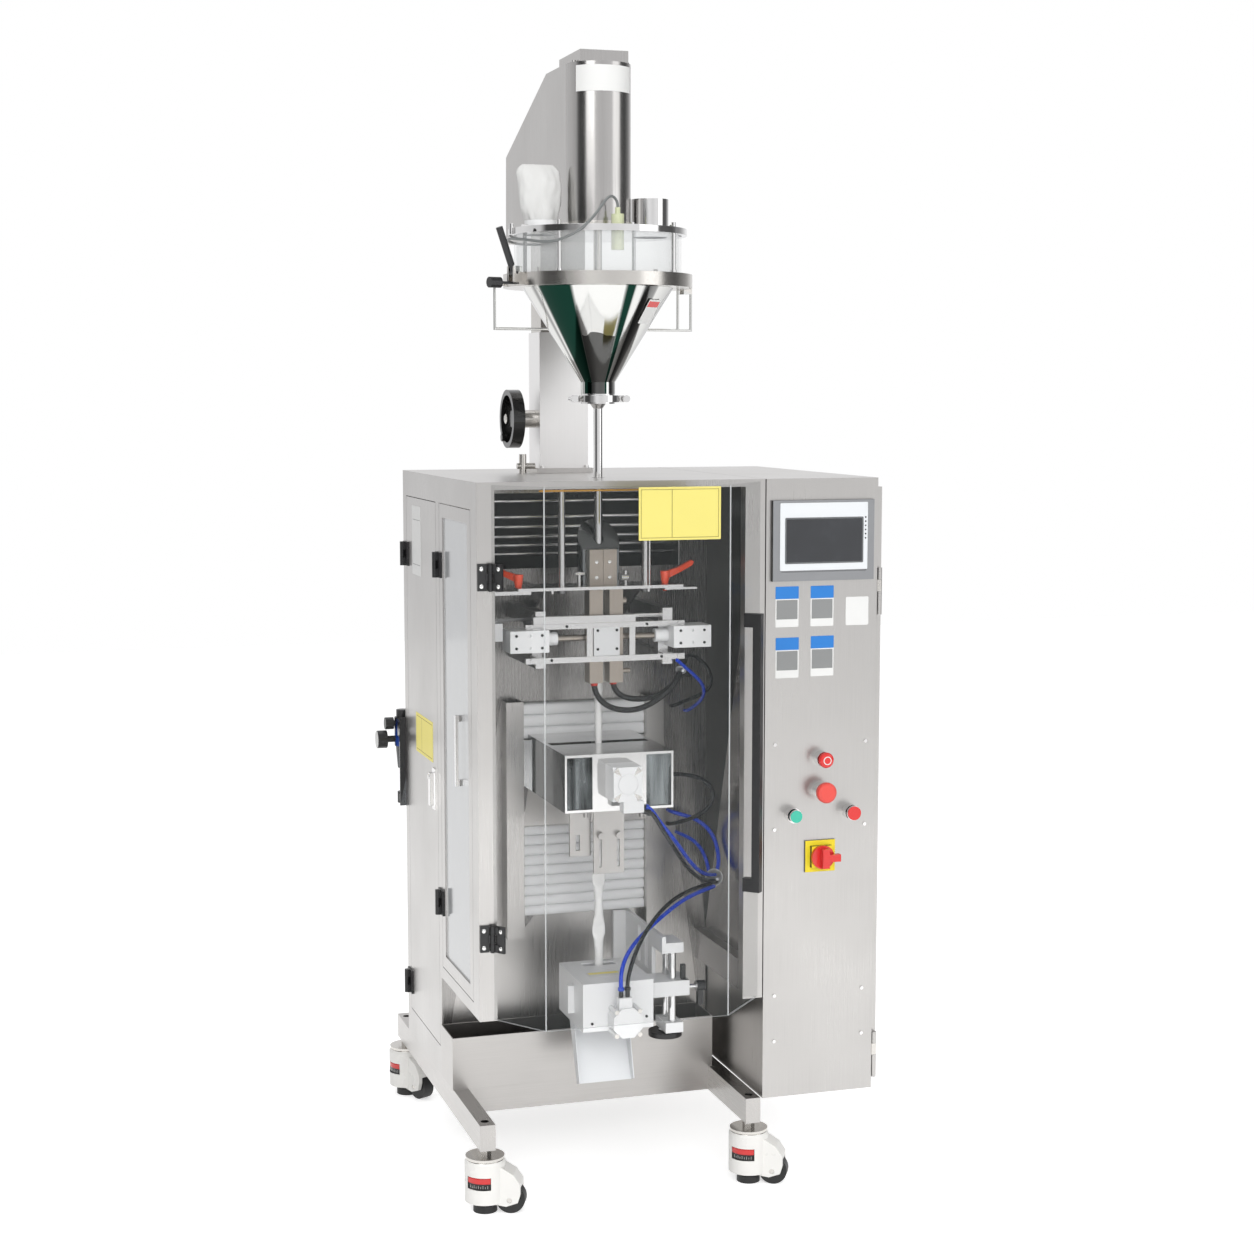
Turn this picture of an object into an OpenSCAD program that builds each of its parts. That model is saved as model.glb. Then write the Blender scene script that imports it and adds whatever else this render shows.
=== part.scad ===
// Vertical stick packing machine with an auger powder filler on its roof.
// X runs to the right seen from the operator, Y to the rear, Z up from the floor.
// The sizes below are taken from the left outer face, the front face and the floor.
// Depths called drops are measured down from the roof.

/* [Cabinet] */
// Width of the main cabinet
cab_w = 562; // [550:1:600]
// Depth of the main cabinet
cab_d = 663; // [640:1:720]
// Height of the cabinet body above its legs
body_h = 1207; // [1190:1:1260]
// Depth of the open front chamber
chamber_d = 330; // [322:1:345]
// Drop from the roof to the bottom of the front chamber
chamber_h = 1005; // [990:1:1030]
// Thickness of the stainless sheet
sheet = 2; // [1.5:0.5:3]
// Width of the left front stile
stile_w = 34; // [30:1:40]
// Width of the right front stile
stile_right_w = 40; // [34:1:46]
// Depth of both front stiles
stile_d = 25; // [20:1:30]
// Height of the lip below the roof's front edge
header_h = 14; // [10:1:18]
// Height of the rail under the left window
rail_h = 26; // [20:1:30]
// Height of the ledge along the right wall
ledge_h = 60; // [50:1:70]
// Width of the ledge along the right wall
ledge_w = 24; // [20:1:28]
// Width of the post between the two left doors
post_w = 30; // [26:1:36]
// Width of the rear corner stile
rear_stile_w = 33; // [28:1:40]
// Drop from the roof to both left door openings
door_drop = 53; // [48:1:60]
// Height of the sill under the rear left door
sill_h = 57; // [50:1:65]
// Width of the film window in the chamber's back plate
film_window_w = 440; // [400:1:460]
// Height of the film window in the chamber's back plate
film_window_h = 150; // [140:1:155]

/* [Base] */
// Height from the floor to the underside of the legs
caster_h = 123; // [118:1:130]
// Height of the leg tubes
leg_h = 50; // [40:1:60]
// Width of the leg tubes
leg_w = 30; // [28:1:34]
// Length of the leg tubes
leg_len = 780; // [770:1:820]
// Setback of the legs behind the cabinet's front face
leg_front = 5; // [0:1:12]
// Wall of the leg tubes
leg_wall = 3; // [2.5:0.5:4]
// Setback of the caster stems from the ends of the legs
caster_inset = 25; // [22:1:35]
// Height of the cable trough between the legs
trough_h = 105; // [90:1:115]
// Depth of the cable trough between the legs
trough_d = 102; // [90:1:110]

/* [Casters] */
// Diameter of the caster housing
housing_d = 78; // [74:1:84]
// Diameter of the caster wheel
wheel_d = 56; // [50:1:58]
// Width of the caster wheel
wheel_w = 24; // [20:1:26]
// Distance from the swivel axis to the wheel axle
trail = 50; // [48:1:54]
// Diameter of the levelling pad
pad_d = 46; // [40:1:46]
// Diameter of the caster stem
stem_d = 12; // [10:1:14]

/* [Control box] */
// Width of the control box
box_w = 230; // [226:1:260]
// Gap between the cabinet and the control box
box_gap = 2; // [1:0.5:4]
// Thickness of the control box door
box_door_t = 12; // [10:1:16]
// Width of the touch panel
hmi_w = 208; // [180:1:210]
// Height of the touch panel
hmi_h = 154; // [140:1:170]
// Drop from the roof to the touch panel's top edge
hmi_drop = 41; // [35:1:60]
// Drop from the roof to the twist release button
twist_drop = 540; // [520:1:560]
// Drop from the roof to the emergency stop
estop_drop = 603; // [595:1:610]
// Drop from the roof to the start and stop buttons
start_drop = 647; // [644:1:655]
// Drop from the roof to the main isolator
isolator_drop = 732; // [725:1:745]
// Half the distance between the start and stop buttons
start_half = 60; // [55:1:66]
// Side of the isolator's yellow plate
isolator_side = 62; // [56:1:66]

/* [Doors] */
// Thickness of the clear front door
pane_t = 5; // [4:0.5:6]
// Distance that the front door bulges out in front of the cabinet
bulge = 104; // [96:1:110]
// Height of the clear front door
front_door_h = 998; // [980:1:1002]
// Thickness of the two left doors
side_door_t = 14; // [12:1:16]
// Side of the black leaf hinges
hinge_side = 50; // [44:1:54]
// Diameter of the hinge pins
hinge_pin_d = 6; // [5:0.5:7]
// Drop from the roof to the upper hinges
hinge_drop = 173; // [160:1:190]
// Drop from the roof to the lower hinges
hinge_low_drop = 847; // [830:1:860]

/* [Filler] */
// Distance from the left face to the filling axis
axis_x = 282; // [276:1:288]
// Distance from the front face to the filling axis
axis_y = 170; // [166:1:174]
// Width of the square column
column_w = 101; // [96:1:106]
// Depth of the square column
column_d = 84; // [80:1:90]
// Distance from the front face to the column
column_y = 412; // [406:1:418]
// Height of the fixed column
column_h = 283; // [270:1:290]
// Diameter of the column's handwheel
column_wheel_d = 118; // [100:1:124]
// Height of the handwheel's axis above the roof
column_wheel_z = 109; // [90:1:130]
// Height of the filler's base plate above the roof
filler_z = 470; // [460:1:480]
// Thickness of the filler's base plate
base_t = 14; // [12:1:18]
// Diameter of the hopper lid
lid_d = 340; // [336:1:350]
// Thickness of the hopper lid
lid_t = 12; // [10:1:14]
// Outer diameter of the clear hopper wall
wall_d = 320; // [310:1:324]
// Thickness of the clear hopper wall
wall_t = 5; // [4:0.5:7]
// Height of the clear hopper wall
wall_h = 73; // [68:1:76]
// Diameter of the hopper's ring flange
ring_d = 361; // [356:1:366]
// Height of the hopper's ring flange
ring_h = 25; // [22:1:28]
// Outer diameter of the cone's top
cone_d = 288; // [280:1:296]
// Height of the cone
cone_h = 178; // [170:1:184]
// Outer diameter of the cone's neck
neck_d = 66; // [62:1:72]
// Height of the cone's neck
neck_h = 22; // [20:1:26]
// Outer diameter of the auger tube
tube_d = 17; // [16:0.5:18]
// Bore of the auger tube
tube_bore = 14; // [13:0.5:14]
// Length of the auger tube
tube_len = 320; // [310:1:330]
// Outer diameter of the powder inlet
inlet_d = 72; // [66:1:76]
// Wall of the powder inlet
inlet_wall = 2; // [1.5:0.5:3]
// Height of the powder inlet
inlet_h = 60; // [50:1:66]
// Radius of the motor cover's round front
cover_r = 63; // [60:1:66]
// Height of the motor cover
cover_h = 293; // [285:1:300]

/* [Film and seals] */
// Bore of the forming shoulder
forming_d = 20; // [19:0.5:22]
// Drop from the roof to the forming plate
plate_drop = 205; // [200:1:210]
// Width of the forming plate
plate_w = 358; // [340:1:366]
// Drop from the roof to the upper seal bar
upper_bar_drop = 275; // [270:1:280]
// Drop from the roof to the lower seal bar
lower_bar_drop = 339; // [335:1:343]
// Length of the seal bars
bar_len = 318; // [310:1:324]
// Height of the vertical sealing jaws
jaw_h = 180; // [172:1:184]
// Gap between the open vertical jaws
jaw_gap = 13; // [12:1:15]
// Width of the sealing carriage
carriage_w = 215; // [205:1:220]
// Height of the sealing carriage
carriage_h = 110; // [106:1:114]
// Drop from the roof to the carriage's top
carriage_drop = 516; // [513:1:518]
// Width of the white bellows
bellows_w = 256; // [250:1:260]
// Drop from the roof to the top of the upper bellows
bellows_drop = 455; // [450:1:458]
// Drop from the roof to the bottom of the lower bellows
bellows_end_drop = 888; // [880:1:895]
// Width of the film reel
reel_w = 120; // [100:1:130]
// Diameter of the film reel
reel_d = 260; // [220:1:270]

/* [Cutter] */
// Width of the cutter box
cutter_w = 141; // [136:1:146]
// Depth of the cutter box
cutter_d = 170; // [160:1:176]
// Height of the cutter box
cutter_h = 94; // [90:1:98]
// Drop from the roof to the cutter's top
cutter_drop = 959; // [954:1:962]
// Diameter of the two cutter posts
post_d = 14; // [12:1:16]
// Width of the outlet chute
chute_w = 112; // [104:1:116]

/* [Hidden] */
$fn = 48;
// Space between faces of pieces that move past each other
gap = 0.3;
// Radial clearance of pins and shafts in their bores
fit = 0.05;
// Overshoot of a cutting body past the face that it cuts
cut = 1;

// Heights of the base, the cabinet and the chamber
leg_z = caster_h;
body_z = leg_z + leg_h;
top_z = body_z + body_h;
ch_z = top_z - chamber_h;
// Right face of the control box
box_x = cab_w + box_gap;
box_right = box_x + box_w;
box_mid = box_x + box_w / 2;
// Places of the four casters, front pair first
caster_xs = [leg_w / 2, cab_w - leg_w / 2];
caster_ys = [leg_front + caster_inset, leg_front + leg_len - caster_inset];
caster_turns = [-24, -30, -64, -70];
// Reach of the air regulator to the left and of the lock to the right
regulator_reach = 55;
lock_h = 4;
lock_d = 22;
// Middle of the machine's footprint, which becomes the origin
mid_x = (box_right + box_door_t + lock_h - regulator_reach) / 2;
mid_y = (caster_ys[1] + housing_d / 2 - bulge) / 2;

module place() translate([-mid_x, -mid_y, 0]) children();
module rod_x(d, l) rotate([0, 90, 0]) cylinder(d = d, h = l);
module rod_y(d, l) rotate([-90, 0, 0]) cylinder(d = d, h = l);
module box_at(corner, size) translate(corner) cube(size);

// Base frame: two leg tubes, three cross channels and the open cable trough
cross_w = 40;
plate_t = 3;
back_y = chamber_d - plate_t;
access_d = 16;
cross_ys = [chamber_d - trough_d, chamber_d + 60, cab_d - 2 * cross_w];
trough_y = back_y - trough_d;
trough_w = cab_w - ledge_w + 2 * sheet;

module leg_tube(x) {
  difference() {
    box_at([x, leg_front, leg_z], [leg_w, leg_len, leg_h]);
    box_at([x + leg_wall, leg_front + leg_wall, leg_z + leg_wall],
      [leg_w - 2 * leg_wall, leg_len - 2 * leg_wall, leg_h - 2 * leg_wall]);
    for (y = caster_ys) {
      translate([x + leg_w / 2, y, leg_z - cut])
        cylinder(d = stem_d + 2 * fit, h = leg_wall + 2 * cut);
      translate([x + leg_w / 2, y, body_z - leg_wall - cut])
        cylinder(d = access_d, h = leg_wall + 2 * cut);
    }
  }
}

module cross_channel(y) {
  difference() {
    box_at([leg_w, y, leg_z], [cab_w - 2 * leg_w, cross_w, leg_h]);
    box_at([leg_w - cut, y + leg_wall, leg_z - cut],
      [cab_w - 2 * leg_w + 2 * cut, cross_w - 2 * leg_wall, leg_h - leg_wall + cut]);
  }
}

module base_frame() place() color("silver") {
  for (x = caster_xs) leg_tube(x - leg_w / 2);
  for (y = cross_ys) cross_channel(y);
  difference() {
    box_at([-sheet, trough_y, body_z], [trough_w, trough_d, trough_h]);
    box_at([0, trough_y + sheet, body_z + sheet],
      [trough_w - 2 * sheet, trough_d - 2 * sheet, trough_h]);
  }
}

// Cabinet shell: roof pan, side walls, rear wall, floor, stiles and the post between the doors
post_y = chamber_d - post_w / 2;
post_reach = 22;
window_y = stile_d + 25;
window_z = ch_z + rail_h;
door_gap = 1.5;
door_top = top_z - door_drop;
rear_hinge_y = cab_d - rear_stile_w;
side_door_z = body_z + sill_h;
tube_hole_d = tube_d + 10;
vent_l = 70;
vent_h = 6;
vent_pitch = 22;
vent_rows = 7;

module side_wall(x) {
  translate([x, 0, 0]) rotate([90, 0, 90]) linear_extrude(sheet) polygon([
    [0, ch_z], [chamber_d, ch_z], [chamber_d, body_z],
    [cab_d, body_z], [cab_d, top_z], [0, top_z]]);
}

module stile(x, w) {
  difference() {
    box_at([x, 0, ch_z], [w, stile_d, chamber_h - sheet]);
    box_at([x + sheet, sheet, ch_z - cut], [w - 2 * sheet, stile_d - 2 * sheet, chamber_h - header_h]);
  }
}

module open_tube_y(corner, size) {
  difference() {
    box_at(corner, size);
    box_at(corner + [sheet, -cut, sheet], [size[0] - 2 * sheet, size[1] + 2 * cut, size[2] - 2 * sheet]);
  }
}

module cabinet_shell() place() color("gainsboro") difference() {
  union() {
    for (y = [40, cab_d - 80], z = [ch_z + 80, top_z - 120])
      box_at([cab_w, y, z], [box_gap, 40, 40]);
    box_at([0, 0, top_z - sheet], [cab_w, cab_d, sheet]);
    box_at([0, 0, top_z - header_h], [cab_w, sheet, header_h]);
    side_wall(0);
    side_wall(cab_w - sheet);
    box_at([0, cab_d - sheet, body_z], [cab_w, sheet, body_h]);
    box_at([0, chamber_d, body_z], [cab_w, cab_d - chamber_d, sheet]);
    stile(0, stile_w);
    stile(cab_w - stile_right_w, stile_right_w);
    open_tube_y([0, stile_d, ch_z], [post_reach, post_y - stile_d, rail_h - door_gap]);
    open_tube_y([cab_w - ledge_w, stile_d, ch_z], [ledge_w, back_y - stile_d, ledge_h]);
    box_at([0, post_y, ch_z], [post_reach, post_w / 2 - plate_t, chamber_h - sheet]);
    box_at([0, chamber_d, body_z], [post_reach, post_w / 2, body_h - sheet]);
  }
  box_at([-cut, window_y - door_gap, window_z - door_gap],
    [sheet + 2 * cut, post_y - window_y + door_gap, door_top - window_z + 2 * door_gap]);
  box_at([-cut, post_y + post_w, side_door_z - door_gap],
    [sheet + 2 * cut, rear_hinge_y - post_y - post_w, door_top - side_door_z + 2 * door_gap]);
  translate([axis_x, axis_y, top_z - sheet - cut]) cylinder(d = tube_hole_d, h = sheet + 2 * cut);
  for (x = [cab_w / 4, cab_w * 3 / 4], row = [0 : vent_rows - 1])
    box_at([x - vent_l / 2, cab_d - sheet - cut, body_z + 2 * vent_l + row * vent_pitch],
      [vent_l, sheet + 2 * cut, vent_h]);
}

// Back plate: the chamber's rear wall, with the film window, the carriage slot and both channels
bellows_mid = axis_x + 9;
bellows_top = top_z - bellows_drop;
bellows_low = top_z - bellows_end_drop;
fold_h = 72;
stroke = 110;
arm_w = 80;
arm_h = 80;
carriage_top = top_z - carriage_drop;
carriage_z = carriage_top - carriage_h;
arm_z = carriage_z + (carriage_h - arm_h) / 2;
slot_gap = 6;
film_window_drop = 36;
channel_w = 36;
channel_d = 38;
channel_wall = 2.5;
channel_len = bellows_top - bellows_low + 46;

module channel(x) {
  translate([x, back_y - channel_d, bellows_top - channel_len + 6]) difference() {
    cube([channel_w, channel_d, channel_len]);
    translate([channel_wall, channel_wall, -cut])
      cube([channel_w - 2 * channel_wall, channel_d, channel_len + 2 * cut]);
  }
}

module back_plate() place() color("darkgray") {
  difference() {
    box_at([sheet, back_y, body_z], [cab_w - 2 * sheet, plate_t, body_h - sheet]);
    box_at([(cab_w - film_window_w) / 2, back_y - cut,
        top_z - film_window_drop - film_window_h],
      [film_window_w, plate_t + 2 * cut, film_window_h]);
    box_at([axis_x - arm_w / 2 - slot_gap, back_y - cut, arm_z - stroke - slot_gap],
      [arm_w + 2 * slot_gap, plate_t + 2 * cut, arm_h + stroke + 2 * slot_gap]);
  }
  channel(bellows_mid - bellows_w / 2 - gap - channel_w);
  channel(bellows_mid + bellows_w / 2 + gap);
}

// Control box: sheet steel box, open on the right behind its door, with the mounting plate inside
rim_w = 22;
gear_x = box_x + 24;
gear_t = 3;
gear_margin = 50;
// Each row is a bank of gear on the plate: height above the box floor, height and depth of a unit, number
gear_rows = [[90, 110, 70, 5], [300, 150, 110, 3], [540, 90, 60, 7], [760, 130, 90, 4], [960, 80, 55, 8]];
button_holes = [[0, twist_drop], [0, estop_drop], [-start_half, start_drop], [start_half, start_drop],
  [0, isolator_drop]];
button_bore = 12;
box_h = body_h;
gear_w = cab_d - 2 * gear_margin;

module control_box() place() color("silver") {
  difference() {
    box_at([box_x, 0, body_z], [box_w, cab_d, box_h]);
    box_at([box_x + sheet, sheet, body_z + sheet], [box_w - 2 * sheet, cab_d - 2 * sheet, box_h - 2 * sheet]);
    box_at([box_right - sheet - cut, rim_w, body_z + rim_w],
      [sheet + 2 * cut, cab_d - 2 * rim_w, box_h - 2 * rim_w]);
    box_at([box_mid - hmi_w / 2 + rim_w, -cut, top_z - hmi_drop - hmi_h + rim_w],
      [hmi_w - 2 * rim_w, sheet + 2 * cut, hmi_h - 2 * rim_w]);
    for (b = button_holes)
      translate([box_mid + b[0], -cut, top_z - b[1]]) rod_y(button_bore + 2 * fit, sheet + 2 * cut);
  }
  box_at([box_x + sheet, gear_margin, body_z + gear_margin], [gear_x - box_x - sheet, gear_w, gear_t]);
  box_at([box_x + sheet, gear_margin, top_z - gear_margin], [gear_x - box_x - sheet, gear_w, gear_t]);
  box_at([gear_x, gear_margin, body_z + gear_margin], [gear_t, gear_w, box_h - 2 * gear_margin + gear_t]);
  for (r = gear_rows, i = [0 : r[3] - 1])
    box_at([gear_x + gear_t, gear_margin + 30 + i * (gear_w - 60) / r[3], body_z + r[0]],
      [r[2], (gear_w - 60) / r[3] - 8, r[1]]);
}

// Touch panel: raised bezel with a sunk screen and its housing inside the box
hmi_t = 8;
bezel_w = 17;
screen_sink = 2;
hmi_body_d = 38;

module hmi() place() color("dimgray") translate([box_mid - hmi_w / 2, 0, top_z - hmi_drop - hmi_h]) {
  difference() {
    translate([0, -hmi_t, 0]) cube([hmi_w, hmi_t, hmi_h]);
    translate([bezel_w, -hmi_t - cut, bezel_w]) cube([hmi_w - 2 * bezel_w, screen_sink + cut, hmi_h - 2 * bezel_w]);
  }
  translate([rim_w, 0, rim_w]) cube([hmi_w - 2 * rim_w, hmi_body_d, hmi_h - 2 * rim_w]);
}

// Sleeves of the four buttons, the isolator's plate and collar, and the panel screws
sleeve_l = 20;
sleeve_d = 29;
isolator_t = 4;
collar_side = 42;
collar_l = 9;
panel_screw_d = 7;
panel_screws = [[-94, 510], [94, 511], [-94, 676], [94, 675], [-92, 1004], [92, 1003], [-92, 1095], [92, 1094]];

module sleeve(x, drop, d) {
  translate([box_mid + x, -sleeve_l, top_z - drop]) difference() {
    rod_y(d, sleeve_l);
    translate([0, -cut, 0]) rod_y(button_bore + 2 * fit, sleeve_l + 2 * cut);
  }
}

module panel_fittings() place() color("lightgray") {
  sleeve(0, twist_drop, sleeve_d);
  sleeve(0, estop_drop, sleeve_d + 4);
  sleeve(-start_half, start_drop, sleeve_d);
  sleeve(start_half, start_drop, sleeve_d);
  difference() {
    union() {
      box_at([box_mid - isolator_side / 2, -isolator_t, top_z - isolator_drop - isolator_side / 2],
        [isolator_side, isolator_t, isolator_side]);
      box_at([box_mid - collar_side / 2, -isolator_t - collar_l, top_z - isolator_drop - collar_side / 2],
        [collar_side, collar_l, collar_side]);
    }
    translate([box_mid, -isolator_t - collar_l - cut, top_z - isolator_drop])
      rod_y(button_bore + 2 * fit, isolator_t + collar_l + 2 * cut);
  }
  for (s = panel_screws)
    translate([box_mid + s[0], -2, top_z - s[1]]) rod_y(panel_screw_d, 2);
}

// Push buttons and the isolator's handle; each stem runs in its sleeve and through the box wall
stem_in = 14;
press = 5;

module push_button(x, drop, cap_d, cap_l) {
  translate([box_mid + x, -sleeve_l, top_z - drop]) {
    translate([0, -press - cap_l, 0]) rod_y(cap_d, cap_l);
    translate([0, -press, 0]) rod_y(button_bore, press + sleeve_l + stem_in);
  }
}

module mushroom(x, drop, cap_d, cap_l) {
  translate([box_mid + x, -sleeve_l - press, top_z - drop]) rotate([90, 0, 0]) rotate_extrude()
    polygon([[0, 0], [cap_d / 2 - 5, 0], [cap_d / 2, 4], [cap_d / 2, cap_l - 5],
      [cap_d / 2 - 2, cap_l - 2], [cap_d / 2 - 6, cap_l], [0, cap_l]]);
}

module twist_release() place() color("red") {
  mushroom(0, twist_drop, 30, 12);
  translate([box_mid, -sleeve_l - press, top_z - twist_drop]) rod_y(button_bore, press + sleeve_l + stem_in);
}

module emergency_stop() place() color("red") {
  mushroom(0, estop_drop, 40, 16);
  translate([box_mid, -sleeve_l - press, top_z - estop_drop]) rod_y(button_bore, press + sleeve_l + stem_in);
}

module start_button() place() color("mediumseagreen") push_button(-start_half, start_drop, 24, 5);
module stop_button() place() color("crimson") push_button(start_half, start_drop, 27, 6);

module isolator_knob() place() color("red")
  translate([box_mid, -isolator_t - collar_l - gap, top_z - isolator_drop]) {
    translate([0, -8, 0]) rod_y(46, 8);
    box_at([-7, -24, -19], [14, 16, 38]);
    box_at([-7, -22, -7], [38, 12, 14]);
    rod_y(button_bore, isolator_t + collar_l + gap + stem_in);
  }

// Column: fixed square tube with its foot plate, the wheel's bearing boss and the foot clamp
col_wall = 4;
flange_out = 8;
flange_t = 10;
boss_len = 24;
boss_d = 36;
wheel_shaft_d = 14;
wheel_y = column_y + column_d / 2;
column_x = axis_x - column_w / 2;

module column() place() color("lightgray") {
  difference() {
    union() {
      box_at([column_x, column_y, top_z], [column_w, column_d, column_h]);
      box_at([column_x - flange_out, column_y - flange_out, top_z],
        [column_w + 2 * flange_out, column_d + 2 * flange_out, flange_t]);
      translate([column_x - boss_len, wheel_y, top_z + column_wheel_z]) rod_x(boss_d, boss_len + 1);
    }
    box_at([column_x + col_wall, column_y + col_wall, top_z - cut],
      [column_w - 2 * col_wall, column_d - 2 * col_wall, column_h + 2 * cut]);
    translate([column_x - boss_len - cut, wheel_y, top_z + column_wheel_z])
      rod_x(wheel_shaft_d + 2 * fit, boss_len + col_wall + 2 * cut);
  }
  for (x = [column_x, column_x + column_w - flange_out], y = [column_y, column_y + column_d])
    translate([x + flange_out / 2, y + (y > wheel_y ? 3 : -3), top_z + flange_t]) cylinder(d = 9, h = 5);
  translate([column_x - 44, column_y + 16, top_z + 14]) rod_x(12, 44 - flange_out + 1);
  translate([column_x - 32, column_y + 16, top_z]) cylinder(d = 15, h = 38);
}

// Handwheel of the column, with a dished disc and a folding crank
rim_w2 = 24;
wheel_rim_t = 11;

module column_wheel() place() color("black")
  translate([column_x - boss_len - gap, wheel_y, top_z + column_wheel_z]) {
    difference() {
      translate([-rim_w2 - 10, 0, 0]) rod_x(column_wheel_d, rim_w2);
      translate([-rim_w2 - 10 - cut, 0, 0]) rod_x(column_wheel_d - 2 * wheel_rim_t, rim_w2 - 8 + cut);
    }
    translate([-rim_w2, 0, 0]) rod_x(34, rim_w2);
    rod_x(wheel_shaft_d, boss_len + gap + col_wall - 1);
    rotate([210, 0, 0]) translate([-rim_w2 - 16, 0, 44]) rod_x(16, 24);
  }

// Inside the rear body: film guide rods, reel cradle with its shaft, and the carriage rails
cheek_t = 4;
cheek_x = [60, 500];
guide_d = 8;
rod_drops = [52, 84, 104, 124, 142, 160];
reel_shaft_d = 30;
reel_y = chamber_d + 172;
reel_drop = 332;
rail_d = 20;
rail_half = 60;
rail_y = chamber_d + 24;
rail_top = top_z - 474;
rail_low = top_z - 760;
rail_block_h = 26;

module inner_shafts() place() color("lightgray") {
  for (x = cheek_x)
    box_at([x, chamber_d, top_z - reel_drop - 60], [cheek_t, reel_y - chamber_d + 60, reel_drop + 40]);
  for (i = [0 : len(rod_drops) - 1])
    translate([cheek_x[0] + cheek_t, chamber_d + 12 + 6 * i, top_z - rod_drops[i]])
      rod_x(guide_d, cheek_x[1] - cheek_x[0] - cheek_t);
  translate([cheek_x[0] + cheek_t, reel_y, top_z - reel_drop])
    rod_x(reel_shaft_d, cheek_x[1] - cheek_x[0] - cheek_t);
  for (s = [-1, 1]) {
    translate([axis_x + s * rail_half, rail_y, rail_low]) cylinder(d = rail_d, h = rail_top - rail_low);
    for (z = [rail_low, rail_top - rail_block_h])
      box_at([axis_x + s * rail_half - 18, chamber_d, z], [36, 42, rail_block_h]);
  }
}

// Film reel on the cradle shaft
module film_reel() place() color("whitesmoke") translate([axis_x - reel_w / 2, reel_y, top_z - reel_drop])
  difference() {
    rod_x(reel_d, reel_w);
    translate([-cut, 0, 0]) rod_x(reel_shaft_d + 2 * fit, reel_w + 2 * cut);
  }

// Forming plate hung from the roof, with its gussets, the clamp blocks and the small fittings
form_plate_t = 6;
form_z = top_z - plate_drop;
plate_x = axis_x - plate_w / 2 + 1;
plate_y = 98;
plate_depth = 92;
hangers = [[198, 132, 14], [365, 132, 14], [379, 150, 9]];
block_w = 27;
block_h = 68;
block_t = 15;
block_y = 136;
lever_stud_d = 8;
lever_xs = [112, 405];
lever_y = 130;

module forming_plate() place() color("lightgray") difference() {
  union() {
    box_at([plate_x, plate_y, form_z - form_plate_t], [plate_w - 30, plate_depth, form_plate_t]);
    box_at([plate_x - 44, plate_y + 12, form_z - 13], [72, plate_depth - 12, 7]);
    box_at([plate_x + plate_w - 66, plate_y + 6, form_z - 10], [66, plate_depth - 6, 4]);
    for (h = hangers) {
      translate([h[0], h[1], form_z]) cylinder(d = h[2], h = plate_drop - sheet);
      translate([h[0], h[1], form_z - form_plate_t - 8]) cylinder(d = h[2] + 4, h = 8);
    }
    for (s = [-1, 0])
      box_at([axis_x + s * (block_w + 0.6) + 0.3, block_y, form_z], [block_w, block_t, block_h]);
    for (x = [plate_x + 70, plate_x + plate_w - 96])
      translate([x, 0, form_z - form_plate_t]) rotate([90, 0, 90]) linear_extrude(4)
        polygon([[plate_y + 20, 0], [back_y, 0], [back_y, -90],
          [plate_y + 74, -8], [plate_y + 20, -8]]);
    for (x = [axis_x - 47, axis_x + 46])
      translate([x, block_y + 4, form_z]) cylinder(d = 7, h = 26);
    translate([axis_x - 55, block_y + 4, form_z + 22]) rod_x(8, 18);
    translate([axis_x + 37, block_y + 4, form_z + 13]) rod_x(13, 14);
  }
  for (x = lever_xs)
    translate([x, lever_y, form_z - 30]) cylinder(d = lever_stud_d + 2 * fit, h = 40);
  for (s = [-1, 1], z = [14, 44])
    translate([axis_x + s * 13, block_y - cut, form_z + z]) rod_y(5, 6);
  translate([axis_x, axis_y, form_z - form_plate_t - cut])
    cylinder(d = forming_d, h = form_plate_t + 2 * cut);
}

// Forming shoulder: polished dome around the filling tube, cut off aslant towards the front
shoulder_r = 41;
shoulder_top = 66;
shoulder_h = plate_drop - shoulder_top;

module forming_shoulder() place() color("slategray") translate([axis_x, axis_y, form_z]) difference() {
  rotate_extrude() polygon([[forming_d / 2, 0], [shoulder_r, 0], [shoulder_r, shoulder_h - 48],
    [shoulder_r - 4, shoulder_h - 30], [shoulder_r - 13, shoulder_h - 13], [shoulder_r - 24, shoulder_h - 3],
    [forming_d / 2, shoulder_h]]);
  translate([-60, -10, shoulder_h - 62]) rotate([50, 0, 0]) translate([0, -100, 0]) cube([120, 240, 140]);
  box_at([-60, -60, -cut], [120, 60 + block_y - axis_y + block_t + gap, shoulder_h + 2]);
}

// Red clamping levers on the forming plate
module clamp_lever(x, turn) {
  translate([x, lever_y, form_z + gap]) rotate([0, 0, turn]) {
    translate([0, 0, -14]) cylinder(d = lever_stud_d, h = 16);
    cylinder(d = 13, h = 4);
    translate([0, 0, 4]) cylinder(d1 = 15, d2 = 19, h = 20);
    rotate([90, 0, 0]) translate([0, 0, -4]) linear_extrude(8)
      polygon([[0, 8], [30, 20], [58, 33], [62, 40], [57, 43], [28, 30], [0, 23]]);
  }
}

module clamp_lever_left() place() color("red") clamp_lever(lever_xs[0], 140);
module clamp_lever_right() place() color("red") clamp_lever(lever_xs[1], 10);

// Vertical seal station: bars and posts, guide rods for the jaws, side cylinders and centre block
bar_y = 104;
bar_t = 10;
bar_x = axis_x - bar_len / 2 - 4;
bar_end = bar_x + bar_len;
bar_space = lower_bar_drop - upper_bar_drop - 10;
rod_d = 10;
jaw_w = 27;
jaw_y = 116;
jaw_t = 34;
jaw_top = top_z - 213;
jaw_rod_y = jaw_y + 20;
jaw_rod_drops = [266, 347];
actuator_drop = 284;
actuator_h = 42;

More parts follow.
